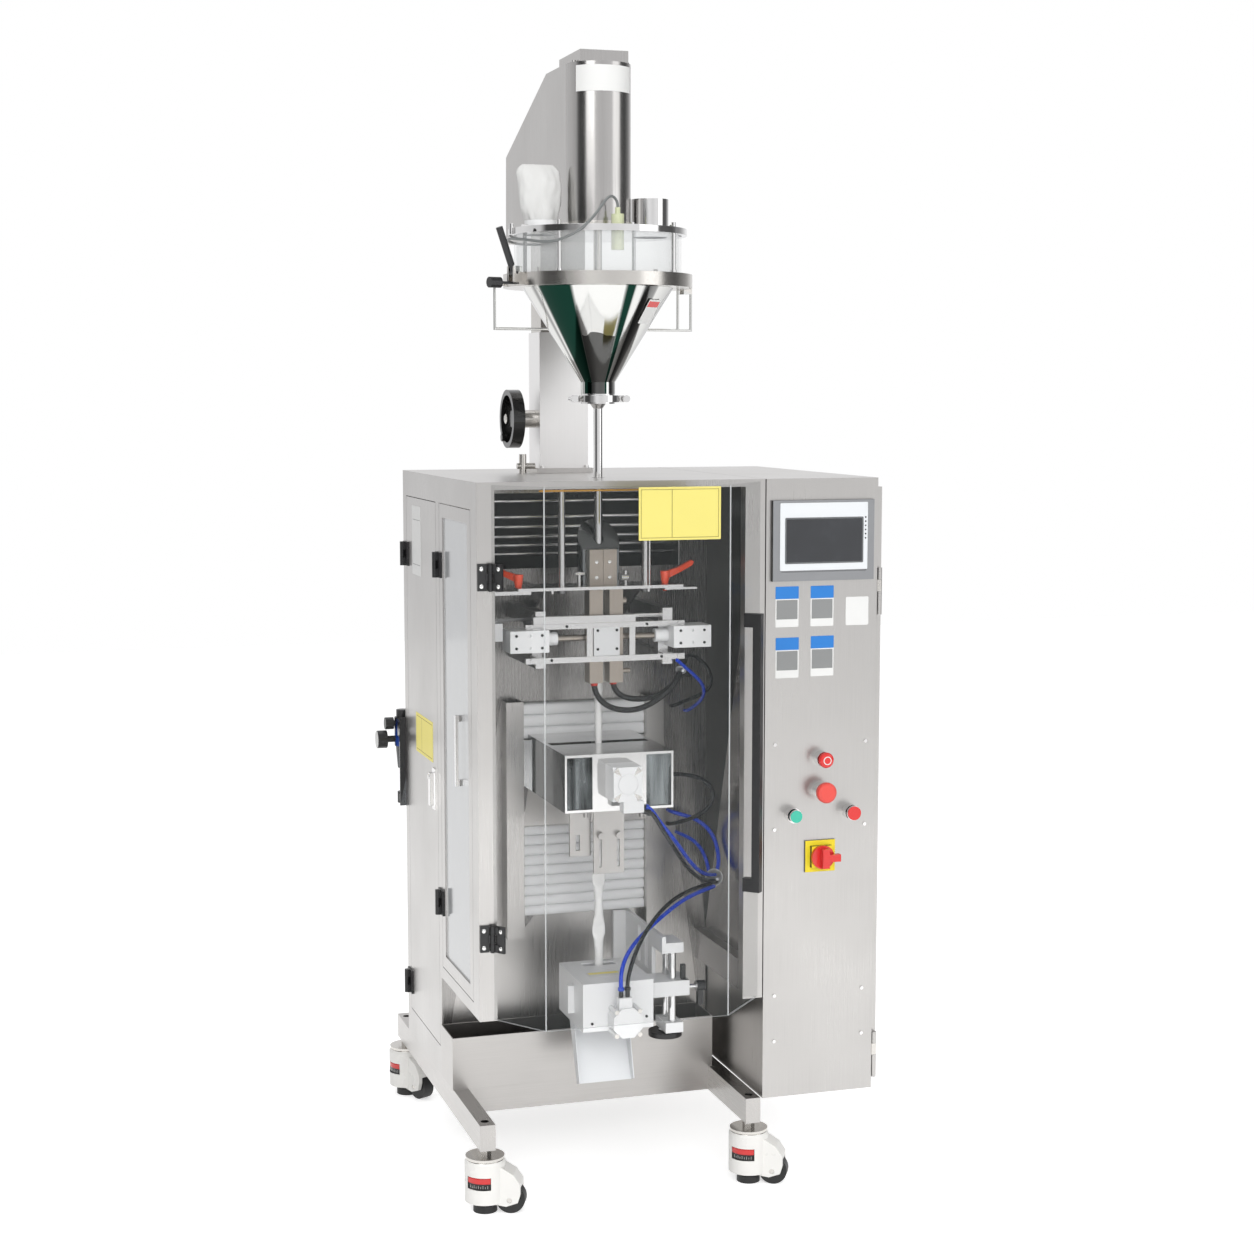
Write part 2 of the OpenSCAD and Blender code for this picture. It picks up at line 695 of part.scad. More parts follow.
actuator_x = [84, 408];
actuator_w = 76;
collar_w = 26;
piston_d = 12;
piston_y = 128;
piston_z = top_z - actuator_drop - actuator_h / 2;

module actuator(x, side) {
  mouth = side > 0 ? x + actuator_w : x - collar_w;
  difference() {
    union() {
      box_at([x, 84, piston_z - actuator_h / 2], [actuator_w, 58, actuator_h]);
      translate([mouth, piston_y, piston_z]) rod_x(26, collar_w);
    }
    translate([mouth - (side > 0 ? 10 : cut), piston_y, piston_z])
      rod_x(piston_d + 2 * fit, collar_w + 10 + cut);
    for (z = [-12, 12])
      translate([x + actuator_w / 2, 83, piston_z + z]) rod_y(6, 5);
  }
}

module seal_frame() place() color("gainsboro") {
  box_at([bar_x, bar_y, top_z - upper_bar_drop - 10], [bar_len, bar_t, 10]);
  box_at([bar_x + 16, bar_y + 2, top_z - upper_bar_drop], [bar_len - 115, bar_t - 4, 14]);
  box_at([bar_x, bar_y, top_z - lower_bar_drop - 11], [bar_len, bar_t, 11]);
  for (x = [246, 331])
    box_at([x - 6, bar_y + 1, top_z - lower_bar_drop], [12, bar_t - 2, bar_space]);
  box_at([axis_x - 28, bar_y + 2, top_z - lower_bar_drop], [52, bar_t - 2, bar_space]);
  for (x = [bar_x + 22, bar_end - 42]) {
    box_at([x, bar_y + bar_t, top_z - 281], [20, back_y - bar_y - bar_t, 30]);
    box_at([x, bar_y + bar_t, top_z - 360], [20, back_y - bar_y - bar_t, 22]);
    box_at([x, 142, top_z - 339], [20, 20, 59]);
  }
  for (d = jaw_rod_drops)
    translate([bar_x + 42, jaw_rod_y, top_z - d]) rod_x(rod_d, bar_len - 84);
  actuator(actuator_x[0], 1);
  actuator(actuator_x[1], -1);
  for (x = [bar_x + 12, bar_end - 12], d = [upper_bar_drop + 5, lower_bar_drop + 5])
    translate([x, bar_y - 3, top_z - d]) rod_y(7, 3);
  box_at([36, 150, top_z - 272], [106, 8, 6]);
  box_at([36, 118, top_z - 306], [42, 40, 34]);
}

piston_l = 83;

module seal_jaw(x, side) {
  difference() {
    box_at([x, jaw_y, jaw_top - jaw_h], [jaw_w, jaw_t, jaw_h]);
    for (d = jaw_rod_drops)
      translate([x - cut, jaw_rod_y, top_z - d]) rod_x(rod_d + 2 * fit, jaw_w + 2 * cut);
  }
  translate([side > 0 ? x - piston_l : x + jaw_w, piston_y, piston_z]) rod_x(piston_d, piston_l);
}

module seal_jaw_left() place() color("rosybrown") seal_jaw(axis_x - jaw_gap / 2 - jaw_w, 1);
module seal_jaw_right() place() color("rosybrown") {
  seal_jaw(axis_x + jaw_gap / 2, -1);
  translate([axis_x + jaw_gap / 2 + jaw_w, jaw_y + 8, jaw_top - jaw_h + 22]) rod_x(9, 16);
  translate([axis_x + jaw_gap / 2 + jaw_w, jaw_y + 8, jaw_top - 22]) rod_x(12, 8);
}

// Carriage with the cross sealing jaws, hung on an arm that passes through the slot to the rails
arm_gap = 0.5;
mount_t = 24;
mount_h = 175;
carriage_x = axis_x - carriage_w / 2;
carriage_y = 30;
car_wall = 3;
plate_front_y = back_y - arm_gap - mount_t;
mount_wall = 7;
mount_z = top_z - bellows_drop - fold_h - gap - mount_h;
carriage_depth = plate_front_y - carriage_y;
film_slot_d = 28;
panel_w = 95;
window_inset = 6;
jaw_bar_h = 30;
jaw_bar_z = carriage_z + 55;
jaw_slide_d = 12;
jaw_slide_half = 42;
jaw_pad = 12;
jaw_travel = 9.5;
film_t = 14;
rear_jaw_y = axis_y + film_t / 2 + 0.5;
front_jaw_y = axis_y - film_t / 2 - 0.5 - jaw_travel;

module carriage_box() place() color("silver") {
  difference() {
    box_at([carriage_x, carriage_y, carriage_z], [carriage_w, carriage_depth, carriage_h]);
    box_at([carriage_x + car_wall, carriage_y + window_inset + 6, carriage_z + car_wall],
      [carriage_w - 2 * car_wall, carriage_depth - 2 * window_inset - 6, carriage_h - 2 * car_wall]);
    for (x = [carriage_x + 4, axis_x + panel_w / 2 + 6])
      box_at([x, carriage_y - cut, carriage_z + 5], [axis_x - panel_w / 2 - carriage_x - 10, window_inset + cut,
        carriage_h - 10]);
    box_at([carriage_x + 8, axis_y - film_slot_d / 2, carriage_z + carriage_h - car_wall - cut],
      [carriage_w - 16, film_slot_d, car_wall + 2 * cut]);
    box_at([axis_x - 60, axis_y - 40, carriage_z - cut], [120, 60, car_wall + 2 * cut]);
    translate([axis_x, carriage_y - cut, jaw_bar_z]) rod_y(20, 16);
  }
  box_at([axis_x - 58, rear_jaw_y, jaw_bar_z - jaw_bar_h / 2], [116, jaw_pad, jaw_bar_h]);
  box_at([axis_x - 30, rear_jaw_y + jaw_pad, jaw_bar_z - 12],
    [60, carriage_y + carriage_depth - rear_jaw_y - jaw_pad, 24]);
  for (s = [-1, 1])
    translate([axis_x + s * jaw_slide_half, carriage_y + 9, jaw_bar_z])
      rod_y(jaw_slide_d, rear_jaw_y - carriage_y - 7);
  box_at([bellows_mid - bellows_w / 2, plate_front_y, mount_z], [bellows_w, mount_wall, mount_h]);
  for (z = [mount_z, mount_z + mount_h - mount_wall])
    box_at([bellows_mid - bellows_w / 2, plate_front_y, z], [bellows_w, mount_t, mount_wall]);
  box_at([axis_x - arm_w / 2, plate_front_y + mount_wall, arm_z],
    [arm_w, rail_y - plate_front_y - mount_wall, arm_h]);
  difference() {
    box_at([axis_x - rail_half - 22, rail_y - 18, arm_z], [2 * rail_half + 44, 36, arm_h]);
    for (s = [-1, 1])
      translate([axis_x + s * rail_half, rail_y, arm_z - cut]) cylinder(d = rail_d + 2 * fit, h = arm_h + 2 * cut);
  }
  difference() {
    box_at([axis_x - 43, carriage_y + 28, carriage_z - 126], [61, 5, 127]);
    for (x = [axis_x - 32, axis_x + 4])
      box_at([x, carriage_y + 27, carriage_z - 114], [5, 7, 62]);
  }
  for (x = [axis_x - 30, axis_x + 6])
    translate([x, carriage_y + 18, carriage_z - 52]) rod_y(13, 10);
  difference() {
    box_at([axis_x - 86, carriage_y + 44, carriage_z - 93], [42, 5, 94]);
    box_at([axis_x - 74, carriage_y + 43, carriage_z - 82], [8, 7, 30]);
  }
  translate([axis_x + 60, carriage_y + 50, carriage_z - 24]) cylinder(d = 10, h = 25);
  translate([axis_x - 60, carriage_y + 24, carriage_z - 14]) cylinder(d = 9, h = 15);
}

// Air cylinder on the carriage's front panel
cyl_w = 56;
cyl_h = 66;
cyl_z = top_z - 567;
cyl_y = -24;

module carriage_cylinder() place() color("white") {
  difference() {
    box_at([axis_x - cyl_w / 2, cyl_y, cyl_z - cyl_h / 2], [cyl_w, carriage_y - cyl_y, cyl_h]);
    for (s = [-1, 1], t = [-1, 1])
      translate([axis_x + s * cyl_w / 2, cyl_y - cut, cyl_z + t * cyl_h / 2])
        rotate([0, 45, 0]) translate([-6, 0, -6]) cube([12, 7, 12]);
    translate([axis_x, cyl_y - cut, cyl_z]) difference() {
      rod_y(40, cut + 1);
      rod_y(37, cut + 1);
    }
  }
  for (s = [-1, 1], t = [-1, 1])
    translate([axis_x + s * (cyl_w / 2 - 8), cyl_y + 1, cyl_z + t * (cyl_h / 2 - 8)]) rod_y(8, 5);
  box_at([axis_x - 8, cyl_y + 2, cyl_z - cyl_h / 2 - 22], [40, 26, 22]);
  translate([axis_x + 30, cyl_y + 14, cyl_z - cyl_h / 2 - 20]) rotate([0, 110, 0]) cylinder(d = 10, h = 16);
  translate([axis_x + 30, cyl_y + 22, cyl_z - cyl_h / 2 - 12]) rotate([0, 110, 0]) cylinder(d = 9, h = 14);
}

// Front cross jaw, sliding on the carriage's two rods
module jaw_front() place() color("lightgray") difference() {
  union() {
    box_at([axis_x - 58, front_jaw_y - jaw_pad, jaw_bar_z - jaw_bar_h / 2], [116, jaw_pad, jaw_bar_h]);
    translate([axis_x, carriage_y + 2, jaw_bar_z]) rod_y(18, front_jaw_y - jaw_pad - carriage_y - 1);
  }
  for (s = [-1, 1])
    translate([axis_x + s * jaw_slide_half, front_jaw_y - jaw_pad - cut, jaw_bar_z])
      rod_y(jaw_slide_d + 2 * fit, jaw_pad + 2 * cut);
}

// Bellows above and below the carriage: pleated walls that follow it
pleat = 12;
fold_root = 11;
pleat_n = 7;
low_pleat_n = 18;

module bellows(z, h, n) {
  translate([bellows_mid - bellows_w / 2, back_y - gap, z]) rotate([90, 0, 90])
    linear_extrude(bellows_w) polygon(concat([[0, h], [0, 0]],
      [for (i = [0 : n - 1], s = [0, 1]) [-fold_root - s * pleat, h * (i + s / 2) / n]],
      [[-fold_root, h]]));
}

module bellows_upper() place() color("white")
  bellows(top_z - bellows_drop - fold_h, fold_h, pleat_n);
module bellows_lower() place() color("white")
  bellows(bellows_low, mount_z - gap - bellows_low, low_pleat_n);

// Film stick: the film tube below the shoulder, flat above the carriage and filled packs below it
stick_w = 13;
pack_w = 26;
pack_t = 9;
pack_h = 105;

module film_stick() place() color("whitesmoke") {
  translate([axis_x, axis_y, form_z - 22]) cylinder(d = forming_d, h = 22);
  box_at([axis_x - stick_w / 2, axis_y - 4, jaw_bar_z - 12], [stick_w, 8, form_z - 16 - jaw_bar_z + 12]);
  for (i = [0 : 3])
    translate([axis_x, axis_y, jaw_bar_z - 12 - (i + 1) * pack_h]) rotate([90, 0, 0])
      translate([0, 0, -pack_t / 2]) linear_extrude(pack_t)
        polygon([[-7, 0], [7, 0], [pack_w / 2, 16], [pack_w / 2 - 1, 60], [8, pack_h - 14], [7, pack_h],
          [-7, pack_h], [-8, pack_h - 14], [1 - pack_w / 2, 60], [-pack_w / 2, 16]]);
}

// Cutter posts on their bracket, with the height screw's handwheel
post_x = 409;
post_ys = [92, 132];
post_low = top_z - 1085;
post_top = top_z - 905;
post_block_h = 20;
bracket_x = 384;
bracket_t = 8;
bracket_z = top_z - 1000;
bracket_h = bellows_low - 4 - bracket_z;

module cutter_posts() place() color("lightgray") {
  for (y = post_ys)
    translate([post_x, y, post_low]) cylinder(d = post_d, h = post_top - post_low);
  for (z = [post_low, post_top - post_block_h])
    box_at([bracket_x + bracket_t, 80, z], [36, 65, post_block_h]);
  difference() {
    box_at([bracket_x, 80, bracket_z], [bracket_t, back_y - 80, bracket_h]);
    for (y = [168, 214])
      box_at([bracket_x - cut, y, top_z - 976], [bracket_t + 2 * cut, 22, 74]);
    box_at([bracket_x - cut, 60, bracket_z - cut], [bracket_t + 2 * cut, 86, 76]);
  }
  box_at([bracket_x - 26, back_y - 8, bracket_z], [26, 8, bracket_h]);
  translate([post_x, 112, post_low - 14]) cylinder(d = 12, h = 15);
  translate([post_x - 8, 112, post_low - 12]) difference() {
    cylinder(d = 66, h = 10);
    translate([0, 0, -cut]) cylinder(d = 50, h = 6 + cut);
  }
  translate([post_x - 8, 112, post_low - 3]) cylinder(d = 26, h = 3);
}

// Cutter head on the posts: sheet box with the film slot, the octagonal air cylinder and the arm
cutter_x = axis_x - 73;
cutter_y = 30;
cutter_z = top_z - cutter_drop - cutter_h;
cut_wall = 3;
blade_z = cutter_z + 22;
blade_t = 4;
oct_d = 62;
oct_x = axis_x + 5;
oct_drop = 1030;
plunger_d = 12;

module cutter_body() place() color("gainsboro") {
  difference() {
    box_at([cutter_x, cutter_y, cutter_z], [cutter_w, cutter_d, cutter_h]);
    box_at([cutter_x + cut_wall, cutter_y + 9, cutter_z - cut],
      [cutter_w - 2 * cut_wall, cutter_d - 12, cutter_h - cut_wall + cut]);
    box_at([axis_x - 34, axis_y - 12, cutter_z + cutter_h - cut_wall - cut], [68, 24, cut_wall + 2 * cut]);
    translate([oct_x, cutter_y - 20, top_z - oct_drop]) rod_y(plunger_d + 2 * fit, 40);
    for (p = [[18, 16], [cutter_w - 14, 22]])
      translate([cutter_x + p[0], cutter_y - cut, cutter_z + p[1]]) rod_y(5, 6);
  }
  difference() {
    translate([oct_x, cutter_y - 40, top_z - oct_drop]) rotate([-90, 22.5, 0]) cylinder(d = oct_d, h = 44, $fn = 8);
    translate([oct_x, cutter_y - 20, top_z - oct_drop]) rod_y(plunger_d + 2 * fit, 40);
  }
  for (s = [-1, 1], t = [-1, 1])
    translate([oct_x + s * 23, cutter_y - 42, top_z - oct_drop + t * 23]) rod_y(9, 46);
  box_at([oct_x - 16, cutter_y - 34, top_z - oct_drop + 26], [26, 18, 22]);
  for (x = [-13, 0])
    translate([oct_x + x + 3, cutter_y - 25, top_z - oct_drop + 48]) cylinder(d = 9, h = 16);
  box_at([cutter_x - 12, cutter_y + 62, cutter_z + 22], [12, 16, 54]);
  difference() {
    box_at([cutter_x + cutter_w, 75, cutter_z + 43], [post_x - cutter_x - cutter_w + 30, 68, 30]);
    for (y = post_ys)
      translate([post_x, y, cutter_z + 42]) cylinder(d = post_d + 2 * fit, h = 32);
  }
  translate([post_x + 30, 84, cutter_z + 58]) rod_x(8, 16);
  translate([post_x + 46, 84, cutter_z + 58]) rod_x(20, 18);
  box_at([post_x + 49, 78, cutter_z + 20], [11, 12, 36]);
  box_at([post_x + 16, 84, cutter_z + 68], [9, 9, 34]);
  translate([axis_x, cutter_y + cutter_d - 14, cutter_z + cutter_h]) cylinder(d = 12, h = 3);
}

// Knife slide inside the cutter head, driven by the plunger of the air cylinder
module cutter_blade() place() color("silver") {
  translate([oct_x, cutter_y - 19, top_z - oct_drop]) rod_y(plunger_d, 70);
  box_at([axis_x - 45, cutter_y + 50, blade_z], [90, 14, 20]);
  translate([axis_x, cutter_y + 64, blade_z + 8]) linear_extrude(blade_t)
    polygon([[-40, 0], [40, 0], [40, 44], [0, 58], [-40, 44]]);
}

// Discharge chute under the cutter head
chute_t = 2;
chute_x = axis_x - 66;
chute_side = 16;

module chute() place() color("white") translate([chute_x, 0, 0]) rotate([90, 0, 90]) {
  linear_extrude(chute_w) polygon([[150, cutter_z], [152, cutter_z], [99, cutter_z - 122], [97, cutter_z - 122]]);
  for (x = [0, chute_w - chute_t])
    translate([0, 0, x]) linear_extrude(chute_t)
      polygon([[150 - 2 * chute_side, cutter_z], [150, cutter_z], [97, cutter_z - 122],
        [97 - chute_side, cutter_z - 116]]);
  linear_extrude(12) polygon([[150, cutter_z - 7], [cutter_y + cutter_d, cutter_z - 7], [cutter_y + cutter_d, cutter_z],
    [150, cutter_z]]);
}

// Leaves and knuckles of the hinges that stay on the cabinet
knuckle_d = 10;
pin_x = 24;
pin_y = -7;
leaf_t = 5;
leaf_h = hinge_side / 3 - gap;
side_pin_x = -9.5;
leaf_w = 20;
lock_y = 3;
barrel_drops = [197, 1118];
barrel_h = 68;

module knuckle(x, y, z, h) translate([x, y, z]) cylinder(d = knuckle_d, h = h);

module bored(x, y) difference() {
  children();
  translate([x, y, 0]) cylinder(d = hinge_pin_d + 2 * fit, h = top_z);
}

module hinge_leaves() place() color("black") {
  for (d = [hinge_drop, hinge_low_drop]) {
    difference() {
      box_at([1, -leaf_t, top_z - d - hinge_side / 2], [pin_x - 7, leaf_t, hinge_side]);
      for (z = [-16, 16])
        translate([8, -leaf_t - cut, top_z - d + z]) rod_y(6, 3);
    }
    bored(pin_x, pin_y) {
      box_at([pin_x - 8, pin_y, top_z - d - hinge_side / 6], [8, -pin_y, hinge_side / 3]);
      knuckle(pin_x, pin_y, top_z - d - hinge_side / 6, hinge_side / 3);
    }
  }
  for (p = [[post_y, hinge_drop], [post_y, hinge_low_drop], [rear_hinge_y, hinge_drop],
      [rear_hinge_y, top_z - side_door_z - 60]]) {
    box_at([-4, p[0] + gap, top_z - p[1] - hinge_side / 2], [4, leaf_w, hinge_side]);
    bored(side_pin_x, p[0]) {
      box_at([side_pin_x, p[0], top_z - p[1] - hinge_side / 6], [6, 6, hinge_side / 3]);
      knuckle(side_pin_x, p[0], top_z - p[1] - hinge_side / 6, hinge_side / 3);
    }
  }
  for (d = barrel_drops) {
    bored(box_right + 6, lock_y) {
      knuckle(box_right + 6, lock_y, top_z - d - barrel_h / 3, barrel_h / 3);
      box_at([box_right, lock_y - 4, top_z - d - barrel_h / 3], [3, 8, barrel_h / 3]);
    }
  }
}

// Clear front door: one bent pane, with the moving hinge leaves and the handle bar in black
pane_left = [99, -bulge];
pane_right = [456, -bulge];
pane_edge = [28, 552];
pane_z = top_z - 5 - front_door_h;
left_skew = 6.1;
right_skew = 6.8;
left_turn = atan2(gap - bulge, pane_left[0] - pane_edge[0]);
right_turn = atan2(bulge - gap, pane_edge[1] - pane_right[0]);
handle_drop = 248;
handle_l = 530;
handle_off = 26;

module front_door() place() color("lightcyan", 0.4) translate([0, 0, pane_z]) linear_extrude(front_door_h)
  polygon([[pane_edge[0], -gap], pane_left, pane_right, [pane_edge[1], -gap], [pane_edge[1] - right_skew, -gap],
    pane_right + [-2.2, pane_t], pane_left + [2.7, pane_t], [pane_edge[0] + left_skew, -gap]]);

module door_hardware() place() color("black") {
  for (d = [hinge_drop, hinge_low_drop]) {
    for (z = [-hinge_side / 2, hinge_side / 6 + gap])
      knuckle(pin_x, pin_y, top_z - d + z, leaf_h);
    translate([pin_x, pin_y, top_z - d - hinge_side / 2 - 1]) cylinder(d = hinge_pin_d, h = hinge_side + 2);
    translate([pane_edge[0], -gap, top_z - d - hinge_side / 2]) rotate([0, 0, left_turn]) difference() {
      translate([9, -leaf_t, 0]) cube([20, leaf_t, hinge_side]);
      for (z = [-16, 16])
        translate([21, -leaf_t - cut, hinge_side / 2 + z]) rod_y(6, 3);
    }
    for (z = [-hinge_side / 2, hinge_side / 6 + gap])
      translate([pin_x, pin_y, top_z - d + z + 1]) rotate([0, 0, left_turn])
        cube([14, 4, leaf_h - 2]);
  }
  translate([pane_right[0], pane_right[1], top_z - handle_drop - handle_l]) rotate([0, 0, right_turn]) {
    translate([62, -handle_off - 8, 0]) cube([15, 16, handle_l]);
    for (z = [0, handle_l - 26])
      translate([62, -handle_off, z]) cube([15, handle_off, 26]);
  }
}

// Rear left door with its latch, and the window door with its slender handle
module door_knuckles(y, drops) {
  for (d = drops) {
    for (z = [-hinge_side / 2, hinge_side / 6 + gap])
      knuckle(side_pin_x, y, top_z - d + z, leaf_h);
    translate([side_pin_x, y, top_z - d - hinge_side / 2]) cylinder(d = hinge_pin_d, h = hinge_side);
    for (z = [-hinge_side / 2, hinge_side / 6 + gap])
      box_at([side_pin_x, y - 6, top_z - d + z], [6, 6, leaf_h]);
    box_at([-4, y - door_gap - leaf_w, top_z - d - hinge_side / 2], [4, leaf_w, hinge_side]);
  }
}

module side_door() place() color("gainsboro") {
  difference() {
    box_at([0, post_y + post_w + door_gap, side_door_z],
      [side_door_t, rear_hinge_y - post_y - post_w - 2 * door_gap, door_top - side_door_z]);
    box_at([sheet, post_y + post_w + 24, side_door_z + 24],
      [side_door_t, rear_hinge_y - post_y - post_w - 48, door_top - side_door_z - 48]);
  }
  door_knuckles(rear_hinge_y, [hinge_drop, top_z - side_door_z - 60]);
  box_at([-3, post_y + post_w + 16, top_z - 671], [3, 26, 84]);
  box_at([-12, post_y + post_w + 21, top_z - 662], [9, 16, 66]);
  translate([-14, post_y + post_w + 29, top_z - 604]) rod_x(10, 2);
}

frame_w = 26;
win_t = 4;

module window_door() place() color("gainsboro") {
  difference() {
    box_at([0, window_y, window_z], [side_door_t, post_y - window_y - door_gap, door_top - window_z]);
    box_at([-cut, window_y + frame_w, window_z + frame_w],
      [side_door_t + 2 * cut, post_y - window_y - door_gap - 2 * frame_w,
        door_top - window_z - 2 * frame_w]);
  }
  box_at([3, window_y + 10, window_z + 10],
    [win_t, post_y - window_y - door_gap - 20, door_top - window_z - 20]);
  door_knuckles(post_y, [hinge_drop, hinge_low_drop]);
  box_at([-16, 114, top_z - 578], [5, 9, 135]);
  for (z = [578, 455])
    box_at([-12, 114, top_z - z], [16, 9, 12]);
}

// Door of the control box on its barrel hinges, with three quarter-turn locks
box_door_h = 1170;

module control_door() place() color("lightgray") {
  box_at([box_right + gap, 9, top_z - 18 - box_door_h], [box_door_t - gap, cab_d - 17, box_door_h]);
  for (d = barrel_drops) {
    for (z = [-barrel_h, gap])
      knuckle(box_right + 6, lock_y, top_z - d + z, z < 0 ? barrel_h * 2 / 3 - gap : barrel_h / 3);
    translate([box_right + 6, lock_y, top_z - d - barrel_h]) cylinder(d = hinge_pin_d, h = barrel_h * 4 / 3);
    for (z = [-barrel_h, gap])
      box_at([box_right + 3, lock_y, top_z - d + z], [6, 7, z < 0 ? barrel_h * 2 / 3 - gap : barrel_h / 3]);
  }
  for (z = [220, 620, 1020])
    translate([box_right + box_door_t, cab_d - 40, top_z - z]) rod_x(lock_d, lock_h);
}

// Air regulator on the rear wall: bracket, body, knob, gauge and bowl
reg_x = 1;
reg_y = cab_d + 39;

module air_regulator() place() color("lightgray") {
  translate([reg_x, reg_y, top_z - 592]) cylinder(d = 34, h = 62);
  translate([reg_x, reg_y, top_z - 530]) cylinder(d = 26, h = 16);
  translate([reg_x, reg_y, top_z - 640]) cylinder(d1 = 22, d2 = 30, h = 48);
  translate([reg_x, reg_y, top_z - 648]) cylinder(d = 9, h = 9);
  translate([-19, reg_y, top_z - 543]) rod_x(12, 12);
  translate([-37, reg_y, top_z - 543]) rod_x(26, 18);
  translate([-34, reg_y, top_z - 577]) rod_x(14, 24);
  translate([-regulator_reach, reg_y, top_z - 577]) rod_x(38, 21);
  translate([reg_x, reg_y - 26, top_z - 560]) rod_y(16, 14);
  box_at([reg_x - 14, cab_d, top_z - 716], [40, 4, 190]);
  box_at([reg_x - 14, cab_d + 4, top_z - 568], [40, reg_y - cab_d - 21, 30]);
  translate([reg_x, reg_y, top_z - 716]) cylinder(d = 24, h = 24);
  box_at([reg_x - 10, cab_d + 4, top_z - 712], [20, reg_y - cab_d - 9, 16]);
}

// Levelling casters: housing with the foot and stem, and the wheel on its axle
plate_z = 104;
dome_h = plate_z - 22;
nut_w = 24;
axle_d = 10;
axle_z = wheel_d / 2;
bulge_w = 44;
wheel_gap = 1.5;
pad_h = 14;

module caster_place(i) place() translate([caster_xs[i % 2], caster_ys[floor(i / 2)], 0])
  rotate([0, 0, caster_turns[i]]) children();

module caster_unit(i) caster_place(i) color("ghostwhite") {
  cylinder(d = pad_d, h = pad_h);
  translate([0, 0, pad_h]) cylinder(d = 24, h = 12);
  difference() {
    union() {
      translate([0, 0, 22]) cylinder(d = housing_d, h = dome_h - 6);
      translate([0, 0, plate_z - 6]) cylinder(d1 = housing_d, d2 = housing_d - 8, h = 6);
      translate([0, bulge_w / 2, 0]) rotate([90, 0, 0]) linear_extrude(bulge_w)
        polygon([[0, 98], [34, 92], [58, 78], [70, 60], [71, 40], [66, 24], [44, 16], [0, 22]]);
    }
    translate([trail, wheel_w / 2 + wheel_gap, axle_z]) rotate([90, 0, 0])
      cylinder(d = wheel_d + 6, h = wheel_w + 2 * wheel_gap);
    translate([trail, bulge_w, axle_z]) rotate([90, 0, 0]) cylinder(d = axle_d + 2 * fit, h = 2 * bulge_w);
    for (s = [-1, 1])
      rotate([0, 0, s * 10]) box_at([-23.5, s > 0 ? 30 : -40, 51], [47, 10, 24]);
  }
  translate([0, 0, plate_z]) cylinder(d = housing_d - 4, h = 5);
  translate([0, 0, plate_z + 5]) cylinder(d = nut_w, h = caster_h - plate_z - 5 - gap, $fn = 6);
  translate([0, 0, plate_z + 5]) cylinder(d = stem_d, h = leg_z + leg_wall + 12 - plate_z - 5);
  translate([0, 0, leg_z + leg_wall + gap]) cylinder(d = 22, h = 7);
}

module caster_wheel(i) caster_place(i) color("dimgray") translate([trail, 0, axle_z]) {
  translate([0, wheel_w / 2, 0]) rotate([90, 0, 0]) cylinder(d = wheel_d, h = wheel_w);
  translate([0, bulge_w / 2 - 1, 0]) rotate([90, 0, 0]) cylinder(d = axle_d, h = bulge_w - 2);
}

module caster_fl() caster_unit(0);
module caster_fr() caster_unit(1);
module caster_rl() caster_unit(2);
module caster_rr() caster_unit(3);
module caster_wheel_fl() caster_wheel(0);
module caster_wheel_fr() caster_wheel(1);
module caster_wheel_rl() caster_wheel(2);
module caster_wheel_rr() caster_wheel(3);

// Feeder frame: mast inside the column, the base plate and the two drives on it
mast_wall = 5;
mast_w = column_w - 2 * col_wall - 2 * fit;
mast_d = column_d - 2 * col_wall - 2 * fit;
mast_low = top_z + 20;
base_z = top_z + filler_z;
base_rear = 632;
shaft_d = 16;
shaft_gap = 1;

module cover_plan(r, rear) {
  circle(r = r);
  translate([-r, 0]) square([2 * r, rear - axis_y]);
}

module feeder_frame() place() color("lightgray") {
  difference() {
    box_at([axis_x - mast_w / 2, wheel_y - mast_d / 2, mast_low], [mast_w, mast_d, base_z - mast_low]);
    box_at([axis_x - mast_w / 2 + mast_wall, wheel_y - mast_d / 2 + mast_wall, mast_low - cut],
      [mast_w - 2 * mast_wall, mast_d - 2 * mast_wall, base_z - mast_low - 10]);
  }
  difference() {
    union() {
      translate([axis_x, axis_y, base_z]) linear_extrude(base_t) cover_plan(cover_r, base_rear);
      translate([axis_x, axis_y, base_z + base_t]) cylinder(d = 86, h = 30);
      box_at([axis_x - 40, axis_y - 40, base_z + base_t + 30], [80, 80, 130]);
      box_at([axis_x - 45, axis_y + 120, base_z + base_t], [90, 90, 110]);
    }
    translate([axis_x, axis_y, base_z - cut]) cylinder(d = shaft_d + 2 * fit, h = 60 + cut);
  }
}

// Hopper: ring, cone and neck in one, with the two handle loops and the latch keeper
ring_z = top_z + 360;
ring_in = ring_d / 2 - 1;
cone_wall = 2;
neck_z = ring_z - cone_h - neck_h;
loop_d = 5;
loop_y = axis_y + 26;
loop_z = top_z + 283;
latch_turn = 198.4;
latch_r = ring_d / 2 + 10;
latch_z = ring_z + ring_h - 1;
latch_pin_d = 5;

